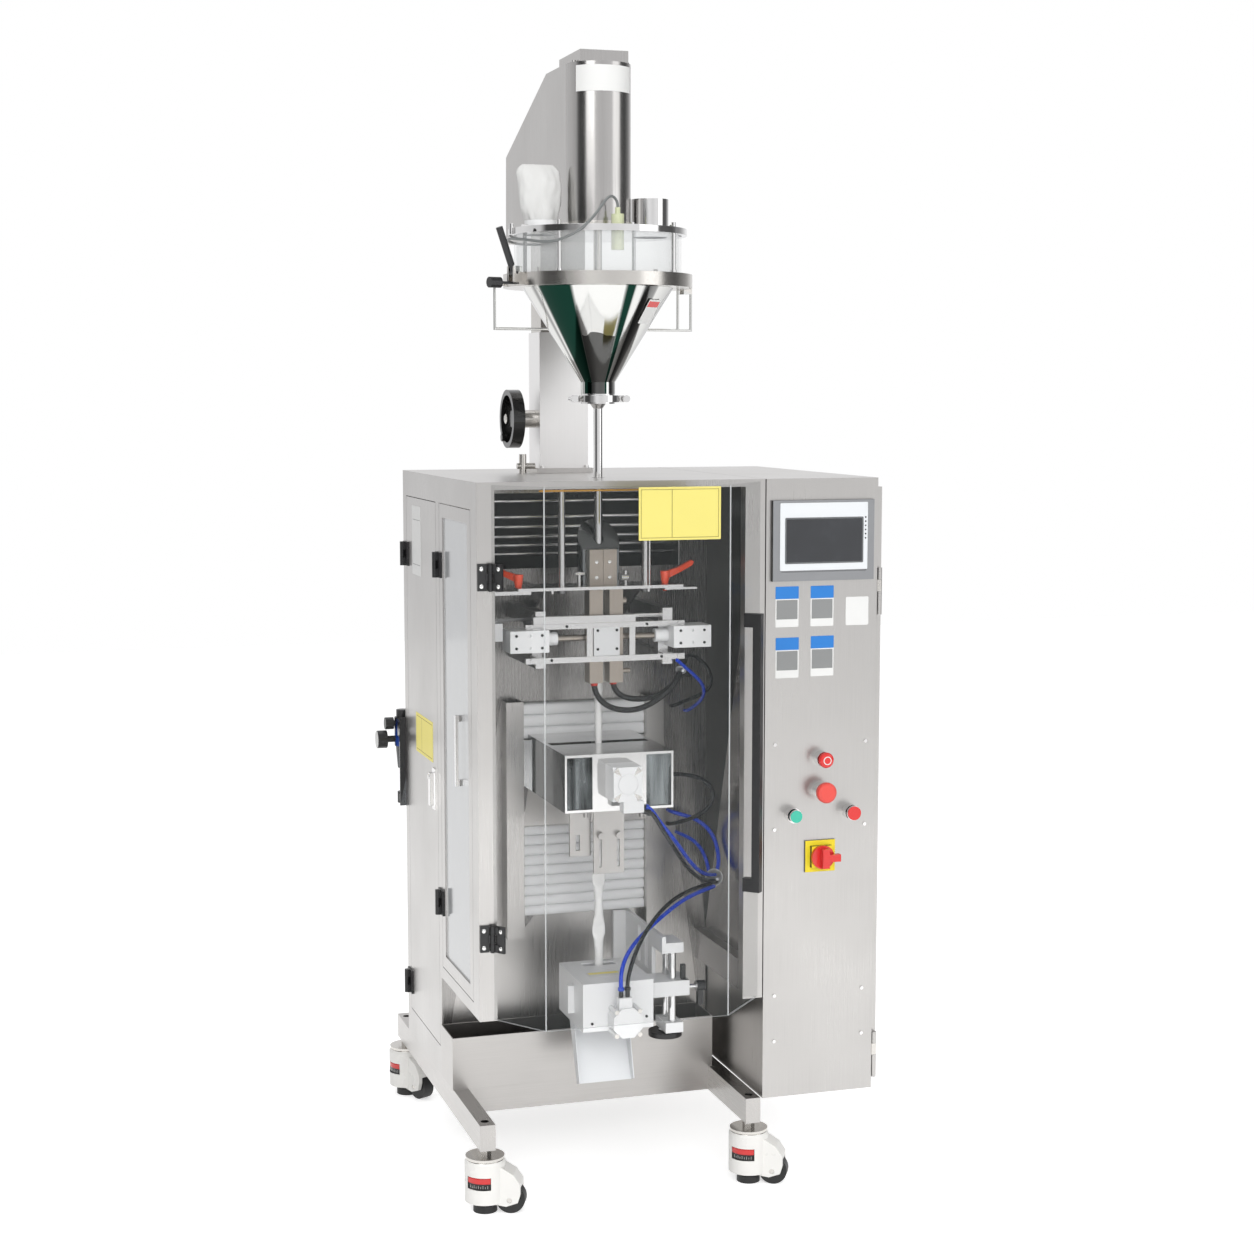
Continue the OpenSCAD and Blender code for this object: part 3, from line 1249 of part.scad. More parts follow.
module hopper_cone() place() color("silver") {
  translate([axis_x, axis_y, 0]) {
    rotate_extrude() polygon([[wall_d / 2 - wall_t - 8, ring_z + ring_h], [ring_d / 2, ring_z + ring_h],
      [ring_d / 2, ring_z], [cone_d / 2, ring_z], [neck_d / 2, neck_z + neck_h], [neck_d / 2, neck_z],
      [neck_d / 2 - cone_wall, neck_z], [neck_d / 2 - cone_wall, neck_z + neck_h],
      [cone_d / 2 - cone_wall, ring_z + 4]]);
    rotate([0, 0, latch_turn]) {
      for (y = [-12, 7.5])
        difference() {
          translate([ring_in, y, ring_z + 6]) cube([18, 4.5, ring_h + 5]);
          translate([latch_r, y - cut, latch_z]) rod_y(latch_pin_d + 2 * fit, 4.5 + 2 * cut);
        }
      translate([ring_in, -20, ring_z + 2]) cube([12, 40, 6]);
      translate([latch_r - 1, 0, ring_z + 5]) rod_x(5, 31);
      translate([latch_r + 30, 0, ring_z + 5]) rod_x(20, 24);
    }
    rotate([0, 0, 8]) translate([ring_in, -9, ring_z - 8]) cube([18, 18, 26]);
  }
  for (s = [-1, 1]) {
    translate([axis_x + s * 196.5, loop_y, loop_z - loop_d / 2]) cylinder(d = loop_d, h = 88);
    translate([axis_x + (s < 0 ? -196.5 : 176), loop_y, loop_z + 83]) rod_x(loop_d, 20.5);
    translate([axis_x + (s < 0 ? -196.5 : 91.5), loop_y, loop_z]) rod_x(loop_d, 105);
  }
  translate([axis_x + 170, loop_y, loop_z]) cylinder(d = loop_d, h = 80);
}

module hopper_wall() place() color("lightcyan", 0.4) translate([axis_x, axis_y, ring_z + ring_h]) difference() {
  cylinder(d = wall_d, h = wall_h);
  translate([0, 0, -cut]) cylinder(d = wall_d - 2 * wall_t, h = wall_h + 2 * cut);
}

// Hopper lid with tie rods, powder inlet, vent collar and level sensor
lid_z = ring_z + ring_h + wall_h;
tie_d = 8;
tie_r = wall_d / 2 + tie_d / 2 + 2;
tie_angles = [-132, -48, 48, 132];
inlet_at = [388, 175];
vent_at = [170, 170];
vent_d = 62;
vent_h2 = 15;
sensor_at = [288, 60];
sensor_d = 24;
clip_at = [[110, 160], [236, 84], [318, 66], [410, 108]];

module hopper_lid() place() color("silver") {
  difference() {
    union() {
      translate([axis_x, axis_y, lid_z]) cylinder(d = lid_d, h = lid_t);
      translate([inlet_at[0], inlet_at[1], lid_z + 1]) cylinder(d = inlet_d, h = lid_t - 1 + inlet_h);
      translate([vent_at[0], vent_at[1], lid_z + 1]) cylinder(d = vent_d, h = lid_t - 1 + vent_h2);
      for (a = tie_angles)
        translate([axis_x, axis_y, 0]) rotate([0, 0, a]) translate([tie_r, 0, ring_z + ring_h]) {
          cylinder(d = tie_d, h = wall_h + lid_t + 8);
          cylinder(d = 11, h = 5);
        }
      for (p = clip_at) {
        translate([p[0], p[1], lid_z]) cylinder(d = 9, h = lid_t + 8);
      }
      translate([sensor_at[0], sensor_at[1], lid_z - 32]) cylinder(d = sensor_d, h = lid_t + 32 + 22);
      translate([sensor_at[0], sensor_at[1], lid_z + lid_t + 22]) cylinder(d = 10, h = 12);
      translate([vent_at[0] - vent_d / 2 - 9, vent_at[1] - 10, lid_z + lid_t + 3]) rod_x(9, 12);
    }
    translate([inlet_at[0], inlet_at[1], lid_z - cut])
      cylinder(d = inlet_d - 2 * inlet_wall, h = lid_t + inlet_h + 2 * cut);
    translate([vent_at[0], vent_at[1], lid_z - cut]) cylinder(d = vent_d - 4, h = lid_t + vent_h2 + 2 * cut);
    translate([axis_x, axis_y, lid_z - cut]) cylinder(d = shaft_d + 2 * shaft_gap, h = lid_t + 2 * cut);
  }
}

// Cover over the drives: round front, sloping back, with its raised cap
cover_t = 2;
cover_z = base_z + base_t;
slope_y = 308;
cover_back_h = 165;

module cover_side(inset) {
  translate([-cover_r + inset, 0, 0]) rotate([90, 0, 90]) linear_extrude(2 * cover_r - 2 * inset)
    polygon([[-80, -2 * inset], [base_rear - axis_y - inset, -2 * inset],
      [base_rear - 4 - axis_y - inset, cover_back_h - inset], [slope_y - axis_y, cover_h - inset],
      [-80, cover_h - inset]]);
}

module motor_cover() place() color("lightgray") translate([axis_x, axis_y, cover_z]) {
  difference() {
    intersection() {
      linear_extrude(cover_h) cover_plan(cover_r, base_rear);
      cover_side(0);
    }
    intersection() {
      translate([0, 0, -cut]) linear_extrude(cover_h) cover_plan(cover_r - cover_t, base_rear - cover_t);
      cover_side(cover_t);
    }
  }
  box_at([-47, -45, cover_h], [94, 145, 22]);
  for (p = [[-52, -20], [52, -20]])
    translate([p[0], p[1], cover_h]) cylinder(d = 8, h = 4);
}

// Filling tube with its clamp flange and band
flange_h = 19;

module auger_tube() place() color("silver") translate([axis_x, axis_y, neck_z - flange_h]) {
  difference() {
    union() {
      cylinder(d = neck_d, h = flange_h);
      translate([0, 0, 3]) cylinder(d = neck_d + 18, h = 13);
      translate([0, 0, -9]) cylinder(d1 = tube_d + 1, d2 = tube_d + 14, h = 9);
      translate([0, 0, flange_h - tube_len]) cylinder(d = tube_d, h = tube_len);
    }
    translate([0, 0, flange_h - tube_len - cut]) cylinder(d = tube_bore, h = tube_len + 2 * cut);
    translate([0, 0, 4]) cylinder(d1 = tube_bore, d2 = neck_d - 2 * cone_wall, h = flange_h - 4);
    translate([0, 0, flange_h - 0.01]) cylinder(d = neck_d - 2 * cone_wall, h = cut);
  }
  for (s = [-1, 1]) {
    box_at([s > 0 ? 38 : -50, -8, 3], [12, 16, 13]);
    translate([s * 52, -14, 9.5]) rod_y(8, 28);
    translate([s * 52, -20, 9.5]) rod_y(13, 7);
  }
}

// Auger with the agitator blades on its shaft
flight_d = tube_bore - 1.4;
flight_h = 300;
flight_turns = 6;
core_d = 6;
shaft_low = neck_z + 6;
shaft_top = base_z + 50;
agitator_r = 120;

module auger_screw() place() color("silver") translate([axis_x, axis_y, 0]) {
  translate([0, 0, shaft_low]) cylinder(d = shaft_d, h = shaft_top - shaft_low);
  translate([0, 0, shaft_low - 17]) cylinder(d = core_d, h = 17);
  translate([0, 0, shaft_low - 17 - flight_h])
    linear_extrude(flight_h, twist = -360 * flight_turns, slices = 10 * flight_turns)
      polygon([[-flight_d / 2, -2], [flight_d / 2, -2], [flight_d / 2, 2], [-flight_d / 2, 2]]);
  for (s = [-1, 1]) {
    translate([s > 0 ? 0 : -agitator_r, 0, ring_z + 10]) rod_x(8, agitator_r);
    translate([s * (agitator_r - 4), 0, ring_z - 22]) cylinder(d = 8, h = 60);
  }
  translate([0, 0, ring_z]) cylinder(d = 34, h = 22);
}

// Latch lever with its black grip
module latch_lever() place() color("black") translate([axis_x, axis_y, 0]) rotate([0, 0, latch_turn])
  translate([latch_r, 0, latch_z]) {
    translate([0, -7.2, 0]) rod_y(11, 14.4);
    translate([0, -12, 0]) rod_y(latch_pin_d, 24);
    rotate([0, 21, 0]) {
      cylinder(d = 9, h = 20);
      translate([0, 0, 14]) cylinder(d = 13, h = 74);
    }
  }

// Cloth dust bag over the vent
bag_h = 104;

module dust_bag() place() color("white") translate([vent_at[0], vent_at[1], lid_z + lid_t + vent_h2]) {
  cylinder(d = vent_d - 2, h = 6);
  translate([0, 0, 6]) cylinder(d1 = vent_d, d2 = vent_d + 14, h = 20);
  translate([0, 0, 26]) cylinder(d = vent_d + 14, h = bag_h - 46);
  translate([0, 0, bag_h - 20]) cylinder(d1 = vent_d + 14, d2 = 46, h = 20);
}

// Hoses and cables: each runs through the points below, which are drops from the roof
function unit(v) = v / norm(v);
function along(p, i) = unit(p[min(i + 1, len(p) - 1)] - p[max(i - 1, 0)]);
function ring(p, i, d, n, ref) =
  let (u = unit(cross(along(p, i), ref)), v = cross(u, along(p, i)))
  [for (j = [0 : n - 1]) p[i] + d / 2 * (cos(360 * j / n) * u + sin(360 * j / n) * v)];

module hose(p, d, n = 8, ref = [0, 1, 0]) {
  m = len(p);
  polyhedron(
    points = [for (i = [0 : m - 1]) each ring(p, i, d, n, ref)],
    faces = concat([[for (j = [0 : n - 1]) j]],
      [[for (j = [n - 1 : -1 : 0]) (m - 1) * n + j]],
      [for (i = [0 : m - 2], j = [0 : n - 1]) [i * n + j, (i + 1) * n + j, i * n + (j + 1) % n]],
      [for (i = [0 : m - 2], j = [0 : n - 1])
        [i * n + (j + 1) % n, (i + 1) * n + j, (i + 1) * n + (j + 1) % n]]),
    convexity = 6);
}

function drop(p) = [for (q = p) [q[0], q[1], top_z - q[2]]];

heater_a = [[262, 130, 393.3], [262, 130, 402], [267, 124, 422], [286, 113, 440], [316, 108, 447], [350, 108, 445],
  [389, 114, 428], [422, 124, 403], [441, 140, 380], [456, 176, 368], [482, 236, 372], [505, 306, 385],
  [505, 326.7, 385]];
heater_b = [[302, 136, 393.3], [302, 136, 400], [309, 135, 416], [331, 133, 428], [368, 132, 430], [404, 138, 421],
  [436, 160, 402], [460, 200, 394], [492, 254, 401], [524, 308, 410], [524, 326.7, 410]];
loop_black = [[452, 146, 352], [472, 160, 350], [506, 185, 370], [530, 205, 402], [532, 236, 436], [507, 280, 456],
  [484, 312, 474], [484, 326.7, 475]];
loop_blue = [[420, 100, 352], [440, 118, 366], [470, 145, 388], [500, 175, 412], [516, 214, 440], [520, 270, 466],
  [513, 312, 485], [513, 326.7, 486]];
sensor_run = [[288, 60, -504.3], [288, 60, -511], [283, 57, -520], [272, 49, -525], [258, 38, -516], [236, 22, -490],
  [209, 10, -464], [184, 24, -447], [153, 56, -436], [124, 112, -446], [114, 190, -452], [124, 250, -452],
  [150, 306, -452], [178, 366, -454], [198, 410, -456], [218, 430, -458], [235.2, 430, -458]];
side_run = [[389.8, 200, 598], [402, 200, 598], [440, 200, 592], [500, 200, 600], [533, 202, 628], [534, 214, 664],
  [508, 262, 700], [476, 310, 718], [476, 326.7, 719]];
elbow_blue = [[325.4, -2, 616.9], [334.8, -2, 620.3], [356, 10, 650], [395, 40, 690], [439, 90, 742], [486, 140, 786],
  [530, 184, 800]];
elbow_black = [[327.3, -10, 625.6], [336.7, -10, 629], [354, -5, 658], [388, 26, 700], [430, 80, 752], [480, 132, 796],
  [530, 176, 812]];
return_blue = [[477, 326.7, 691], [478, 313, 691], [486, 298, 693], [505, 288, 698], [530, 276, 708], [549, 254, 730],
  [552, 230, 758], [546, 205, 790], [530, 194, 806]];
return_thin = [[495, 326.7, 738], [496, 313, 738], [505, 298, 741], [523, 276, 752], [531, 248, 774], [530, 220, 800],
  [526, 202, 822]];
cut_black = [[520, 180, 816], [442, 142, 822], [374, 92, 852], [324, 44, 893], [297, 12, 932], [290, 5, 954], [290, 5, 966]];
cut_blue = [[530, 188, 824], [458, 164, 838], [392, 118, 864], [318, 66, 897], [284, 24, 930], [277, 5, 954], [277, 5, 966]];

module fixed_cables() place() color("black") {
  hose(drop(heater_a), 11, 8, [0, 1, -1]);
  hose(drop(heater_b), 11, 8, [1, -1, 1]);
  hose(drop(loop_black), 7, 8, [1, 1, 1]);
  hose(drop(loop_blue), 7, 8, [1, 0, 0]);
  hose(drop(return_blue), 8, 8, [1, 1, -1]);
  hose(drop(return_thin), 7, 8, [1, 1, -1]);
}

module carriage_hoses() place() color("blue") {
  hose(drop(elbow_blue), 8, 8, [1, 0, 1]);
  hose(drop(elbow_black), 8, 8, [1, 0, 1]);
  hose(drop(side_run), 8, 8, [1, 1, 1]);
}

module cutter_hoses() place() color("blue") {
  hose(drop(cut_black), 8);
  hose(drop(cut_blue), 8);
}

module sensor_cable() place() color("gray") hose(drop(sensor_run), 5, 8, [1, -1, -1]);

// Drawing: one line for each sub-part
base_frame();
cabinet_shell();
back_plate();
control_box();
hmi();
panel_fittings();
column();
inner_shafts();
forming_plate();
forming_shoulder();
seal_frame();
cutter_posts();
air_regulator();
hinge_leaves();
film_stick();
fixed_cables();
carriage_hoses();
cutter_hoses();
front_door();
door_hardware();
side_door();
window_door();
control_door();
caster_fl();
caster_fr();
caster_rl();
caster_rr();
caster_wheel_fl();
caster_wheel_fr();
caster_wheel_rl();
caster_wheel_rr();
feeder_frame();
hopper_cone();
hopper_wall();
hopper_lid();
motor_cover();
auger_tube();
dust_bag();
sensor_cable();
auger_screw();
latch_lever();
column_wheel();
clamp_lever_left();
clamp_lever_right();
seal_jaw_left();
seal_jaw_right();
carriage_box();
carriage_cylinder();
bellows_upper();
bellows_lower();
jaw_front();
cutter_body();
cutter_blade();
chute();
twist_release();
emergency_stop();
start_button();
stop_button();
isolator_knob();
film_reel();
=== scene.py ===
import math

import bpy
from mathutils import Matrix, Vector, noise


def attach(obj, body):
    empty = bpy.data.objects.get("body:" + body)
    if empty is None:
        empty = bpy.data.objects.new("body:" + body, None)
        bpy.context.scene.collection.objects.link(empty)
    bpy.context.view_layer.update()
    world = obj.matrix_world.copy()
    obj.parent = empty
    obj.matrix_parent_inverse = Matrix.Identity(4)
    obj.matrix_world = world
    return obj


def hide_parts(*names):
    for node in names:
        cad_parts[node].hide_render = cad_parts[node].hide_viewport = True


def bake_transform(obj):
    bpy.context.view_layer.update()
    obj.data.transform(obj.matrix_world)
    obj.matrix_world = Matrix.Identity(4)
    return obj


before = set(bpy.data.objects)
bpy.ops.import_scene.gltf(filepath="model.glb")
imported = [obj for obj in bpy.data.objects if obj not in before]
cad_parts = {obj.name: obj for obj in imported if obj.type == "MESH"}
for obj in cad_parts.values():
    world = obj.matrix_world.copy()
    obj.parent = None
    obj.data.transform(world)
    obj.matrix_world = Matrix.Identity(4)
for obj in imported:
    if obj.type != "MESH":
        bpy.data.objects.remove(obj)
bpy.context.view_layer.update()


# Camera and studio
# The machine stands on a pale floor before white, under soft lamps; the wide front lamp isn't
# mirrored. Glossy steel mirrors a room of its own, whose bands are pale or dark by direction, like
# the panels of a studio.
camera = bpy.data.objects.new("camera", bpy.data.cameras.new("camera"))
camera.location = (-1.2937, -4.1991, 1.5452)
camera.rotation_euler = (math.radians(83.804), 0, math.radians(-17.353))
camera.data.sensor_width = 36
camera.data.lens = 62.39
camera.data.clip_end = 60
bpy.context.scene.collection.objects.link(camera)
bpy.context.scene.camera = camera
bpy.context.scene.view_settings.view_transform = "Standard"


def link(tree, a, b):
    tree.links.new(a, b)


def maths(tree, operation, a, b, clamp=False):
    """Output of a Math node whose two inputs are sockets or numbers."""
    node = tree.nodes.new("ShaderNodeMath")
    node.operation = operation
    node.use_clamp = clamp
    for value, socket in ((a, node.inputs[0]), (b, node.inputs[1])):
        if isinstance(value, (int, float)):
            socket.default_value = value
        else:
            link(tree, value, socket)
    return node.outputs[0]


def any_ray(tree, *kinds):
    """Socket that is 1 for rays of any of the given kinds."""
    path = tree.nodes.new("ShaderNodeLightPath")
    total = path.outputs[kinds[0]]
    for kind in kinds[1:]:
        total = maths(tree, "MAXIMUM", total, path.outputs[kind])
    return total


def banded(tree, factor, stops):
    """Colour that runs smoothly through (place, colour) stops along a factor."""
    node = tree.nodes.new("ShaderNodeValToRGB")
    node.color_ramp.interpolation = "EASE"
    ramp = node.color_ramp.elements
    for k, (where, colour) in enumerate(stops):
        stop = ramp[0] if k == 0 else ramp[-1] if k == len(stops) - 1 else ramp.new(where)
        stop.position = where
        stop.color = (*colour, 1)
    link(tree, factor, node.inputs[0])
    return node.outputs[0]


world = bpy.data.worlds.new("studio")
bpy.context.scene.world = world
world.use_nodes = True
tree = world.node_tree
tree.nodes.clear()
direction = tree.nodes.new("ShaderNodeSeparateXYZ")
link(tree, tree.nodes.new("ShaderNodeTexCoord").outputs["Generated"], direction.inputs[0])
room = tree.nodes.new("ShaderNodeMapRange")
room.inputs["From Min"].default_value = -math.pi
room.inputs["From Max"].default_value = math.pi
link(tree, maths(tree, "ARCTAN2", direction.outputs["X"], direction.outputs["Y"]), room.inputs["Value"])
ROOM_SHADES = ((0.0, 0.86), (0.06, 0.95), (0.13, 0.30), (0.18, 0.06), (0.235, 0.07), (0.27, 0.70),
               (0.36, 0.85), (0.46, 0.85), (0.60, 0.95), (0.70, 0.30), (0.74, 0.10), (0.80, 0.12),
               (0.84, 0.85), (0.93, 0.97), (1.0, 0.86))
mirrored = banded(tree, room.outputs[0],
                  [(where, (shade, shade, shade * 1.01)) for where, shade in ROOM_SHADES])
glossy = tree.nodes.new("ShaderNodeMix")
glossy.data_type = "RGBA"
glossy.inputs["A"].default_value = (0.62, 0.62, 0.62, 1)
link(tree, any_ray(tree, "Is Glossy Ray"), glossy.inputs["Factor"])
link(tree, mirrored, glossy.inputs["B"])
white = tree.nodes.new("ShaderNodeMix")
white.data_type = "RGBA"
white.inputs["B"].default_value = (1, 1, 1, 1)
link(tree, any_ray(tree, "Is Camera Ray", "Is Transmission Ray"), white.inputs["Factor"])
link(tree, glossy.outputs["Result"], white.inputs["A"])
shine = tree.nodes.new("ShaderNodeBackground")
link(tree, white.outputs["Result"], shine.inputs["Color"])
out = tree.nodes.new("ShaderNodeOutputWorld")
link(tree, shine.outputs[0], out.inputs[0])

FLOOR_HALF, FLOOR_GLOW = 9, 0.55
floor_mesh = bpy.data.meshes.new("floor")
floor_mesh.from_pydata([(x * FLOOR_HALF, y * FLOOR_HALF, 0) for x, y in ((-1, -1), (1, -1), (1, 1), (-1, 1))],
                       [], [(0, 1, 2, 3)])
floor = bpy.data.objects.new("floor", floor_mesh)
bpy.context.scene.collection.objects.link(floor)
paper = bpy.data.materials.new("paper_floor")
paper.use_nodes = True
tree = paper.node_tree
shader = tree.nodes["Principled BSDF"]
shader.inputs["Base Color"].default_value = (0.86, 0.86, 0.86, 1)
shader.inputs["Roughness"].default_value = 0.9
shader.inputs["Specular IOR Level"].default_value = 0.1
shader.inputs["Emission Color"].default_value = (1, 1, 1, 1)
seen = any_ray(tree, "Is Glossy Ray", "Is Transmission Ray", "Is Camera Ray")
link(tree, maths(tree, "MULTIPLY", seen, FLOOR_GLOW), shader.inputs["Emission Strength"])
floor_mesh.materials.append(paper)

for name, place, size, power, aim in (
    ("key", (-2.6, -3.0, 3.3), 2.2, 34, (0, 0, 1.0)),
    ("fill", (3.0, -2.6, 2.2), 2.0, 12, (0.1, 0, 1.0)),
    ("top", (0.2, 0.3, 4.4), 2.4, 26, (0, 0, 1.2)),
    ("front", (-0.6, -4.6, 1.9), 3.0, 115, (-0.05, 0, 1.0)),
):
    lamp = bpy.data.objects.new(name, bpy.data.lights.new(name, "AREA"))
    lamp.data.shape = "SQUARE"
    lamp.data.size = size
    lamp.data.energy = power
    lamp.location = place
    lamp.rotation_euler = (Vector(aim) - Vector(place)).to_track_quat("-Z", "Y").to_euler()
    lamp.visible_glossy = name != "front"
    bpy.context.scene.collection.objects.link(lamp)


# Hoses and cables
# Braided heater cables, plastic air tubes and the level sensor's lead, each a smooth round tube as
# long as its route. They hang between fittings.
ROOF = 1380.0
MIDDLE_X, MIDDLE_Y = 377.5, 347.5


def at(x, y, drop):
    """Point in the row frame, from millimetres off the left face, the front face and the roof."""
    return Vector(((x - MIDDLE_X) / 1000, (y - MIDDLE_Y) / 1000, (ROOF - drop) / 1000))


def smooth_route(points, steps=6, passes=16):
    """Points of an even curve near the given ones, in metres in the row frame."""
    p = [at(*q) for q in points]
    p = [2 * p[0] - p[1]] + p + [2 * p[-1] - p[-2]]
    out = []
    for i in range(1, len(p) - 2):
        for k in range(steps):
            t = k / steps
            out.append(0.5 * (2 * p[i] + (p[i + 1] - p[i - 1]) * t
                              + (2 * p[i - 1] - 5 * p[i] + 4 * p[i + 1] - p[i + 2]) * t * t
                              + (3 * p[i] - p[i - 1] - 3 * p[i + 1] + p[i + 2]) * t ** 3))
    out.append(p[-2])
    for _ in range(passes):
        out = out[:1] + [(a + 2 * b + c) / 4 for a, b, c in zip(out, out[1:], out[2:])] + out[-1:]
    return out


def sweep(name, route, radius, material, sides=16):
    """Round tube of one radius along a route."""
    verts, side = [], None
    for i, p in enumerate(route):
        ahead = (route[min(i + 1, len(route) - 1)] - route[max(i - 1, 0)]).normalized()
        side = ahead.orthogonal() if side is None else side - side.dot(ahead) * ahead
        side.normalize()
        other = ahead.cross(side)
        for k in range(sides):
            a = 2 * math.pi * k / sides
            verts.append(p + radius * (math.cos(a) * side + math.sin(a) * other))
    return piece(name, verts, closed_rings(len(route), sides), material)


def ring_sides(rings, sides):
    """Faces between rings of points that follow one another."""
    faces = []
    for i in range(rings - 1):
        for k in range(sides):
            a, b = i * sides + k, i * sides + (k + 1) % sides
            faces.append((a, b, b + sides, a + sides))
    return faces


def closed_rings(rings, sides):
    """Faces between rings of points, with a cap on the first and the last ring."""
    caps = [tuple(range(sides))[::-1], tuple(range((rings - 1) * sides, rings * sides))]
    return ring_sides(rings, sides) + caps


def piece(name, verts, faces, material, body=None):
    """New mesh object with one material, smooth but for its sharp edges."""
    mesh = bpy.data.meshes.new(name)
    mesh.from_pydata([tuple(v) for v in verts], [], faces)
    mesh.materials.append(material)
    mesh.shade_smooth()
    mesh.set_sharp_from_angle(angle=math.radians(38))
    obj = bpy.data.objects.new(name, mesh)
    bpy.context.scene.collection.objects.link(obj)
    if body:
        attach(obj, body)
    return obj


def node_group(name, inputs, outputs):
    """Empty shader group with its named sockets, and its input and output nodes."""
    group = bpy.data.node_groups.new(name, "ShaderNodeTree")
    for label, kind, value in inputs:
        socket = group.interface.new_socket(label, in_out="INPUT", socket_type="NodeSocket" + kind)
        socket.default_value = value
    for label, kind in outputs:
        group.interface.new_socket(label, in_out="OUTPUT", socket_type="NodeSocket" + kind)
    return group, group.nodes.new("NodeGroupInput"), group.nodes.new("NodeGroupOutput")


def noise_at(tree, vector, scale, detail=3.0):
    """Factor of a noise texture on a vector socket."""
    node = tree.nodes.new("ShaderNodeTexNoise")
    node.inputs["Scale"].default_value = scale
    node.inputs["Detail"].default_value = detail
    link(tree, vector, node.inputs["Vector"])
    return node.outputs[0]


def tinted(tree, colour, factor):
    """Colour socket multiplied by a number socket."""
    node = tree.nodes.new("ShaderNodeVectorMath")
    node.operation = "SCALE"
    link(tree, colour, node.inputs[0])
    link(tree, factor, node.inputs["Scale"])
    return node.outputs[0]


moulded_group, given, made = node_group(
    "moulded_surface",
    [("Tint", "Color", (0.5, 0.5, 0.5, 1)), ("Uneven", "Float", 0.05), ("Gloss", "Float", 0.4)],
    [("Color", "Color"), ("Roughness", "Float"), ("Height", "Float")])
tree = moulded_group
place = tree.nodes.new("ShaderNodeTexCoord").outputs["Object"]
soft = noise_at(tree, place, 14, 4)
fine = noise_at(tree, place, 900, 2)
drift = maths(tree, "MULTIPLY", maths(tree, "SUBTRACT", soft, 0.5), given.outputs["Uneven"])
link(tree, tinted(tree, given.outputs["Tint"], maths(tree, "ADD", drift, 1.0)), made.inputs["Color"])
link(tree, maths(tree, "ADD", given.outputs["Gloss"], maths(tree, "MULTIPLY", drift, 1.5), True),
     made.inputs["Roughness"])
link(tree, fine, made.inputs["Height"])


def material_from(name, group, values, bump=0.0, bump_size=0.0002, edge=0.0006, **sockets):
    """Material whose colour, roughness and bump come from a shared group, with softened edges."""
    made = bpy.data.materials.new(name)
    made.use_nodes = True
    tree = made.node_tree
    shader = tree.nodes["Principled BSDF"]
    surface = tree.nodes.new("ShaderNodeGroup")
    surface.node_tree = group
    for label, value in values.items():
        surface.inputs[label].default_value = value
    link(tree, surface.outputs["Color"], shader.inputs["Base Color"])
    link(tree, surface.outputs["Roughness"], shader.inputs["Roughness"])
    relief = tree.nodes.new("ShaderNodeBump")
    relief.inputs["Strength"].default_value = bump
    relief.inputs["Distance"].default_value = bump_size
    link(tree, surface.outputs["Height"], relief.inputs["Height"])
    if edge:
        soft_edge = tree.nodes.new("ShaderNodeBevel")
        soft_edge.samples = 4
        soft_edge.inputs["Radius"].default_value = edge
        link(tree, soft_edge.outputs[0], relief.inputs["Normal"])
    link(tree, relief.outputs[0], shader.inputs["Normal"])
    for label, value in sockets.items():
        shader.inputs[label.replace("_", " ")].default_value = value
    return made


def moulded(name, tint, gloss=0.4, uneven=0.08, bump=0.15, **sockets):
    """Plastic or rubber of one colour, a little uneven in tint and gloss."""
    return material_from(name, moulded_group, {"Tint": (*tint, 1), "Gloss": gloss, "Uneven": uneven},
                         bump=bump, **sockets)


black_sleeve = moulded("braided_black_sleeve", (0.012, 0.012, 0.013), 0.5, 0.3, 0.6)
black_tube = moulded("black_air_tube", (0.010, 0.011, 0.014), 0.22, 0.1, 0.05)
blue_tube = moulded("blue_air_tube", (0.006, 0.055, 0.62), 0.2, 0.1, 0.05)
grey_lead = moulded("grey_sensor_lead", (0.16, 0.17, 0.17), 0.4)
red_sleeve = moulded("red_cable_sleeve", (0.62, 0.03, 0.02), 0.4)

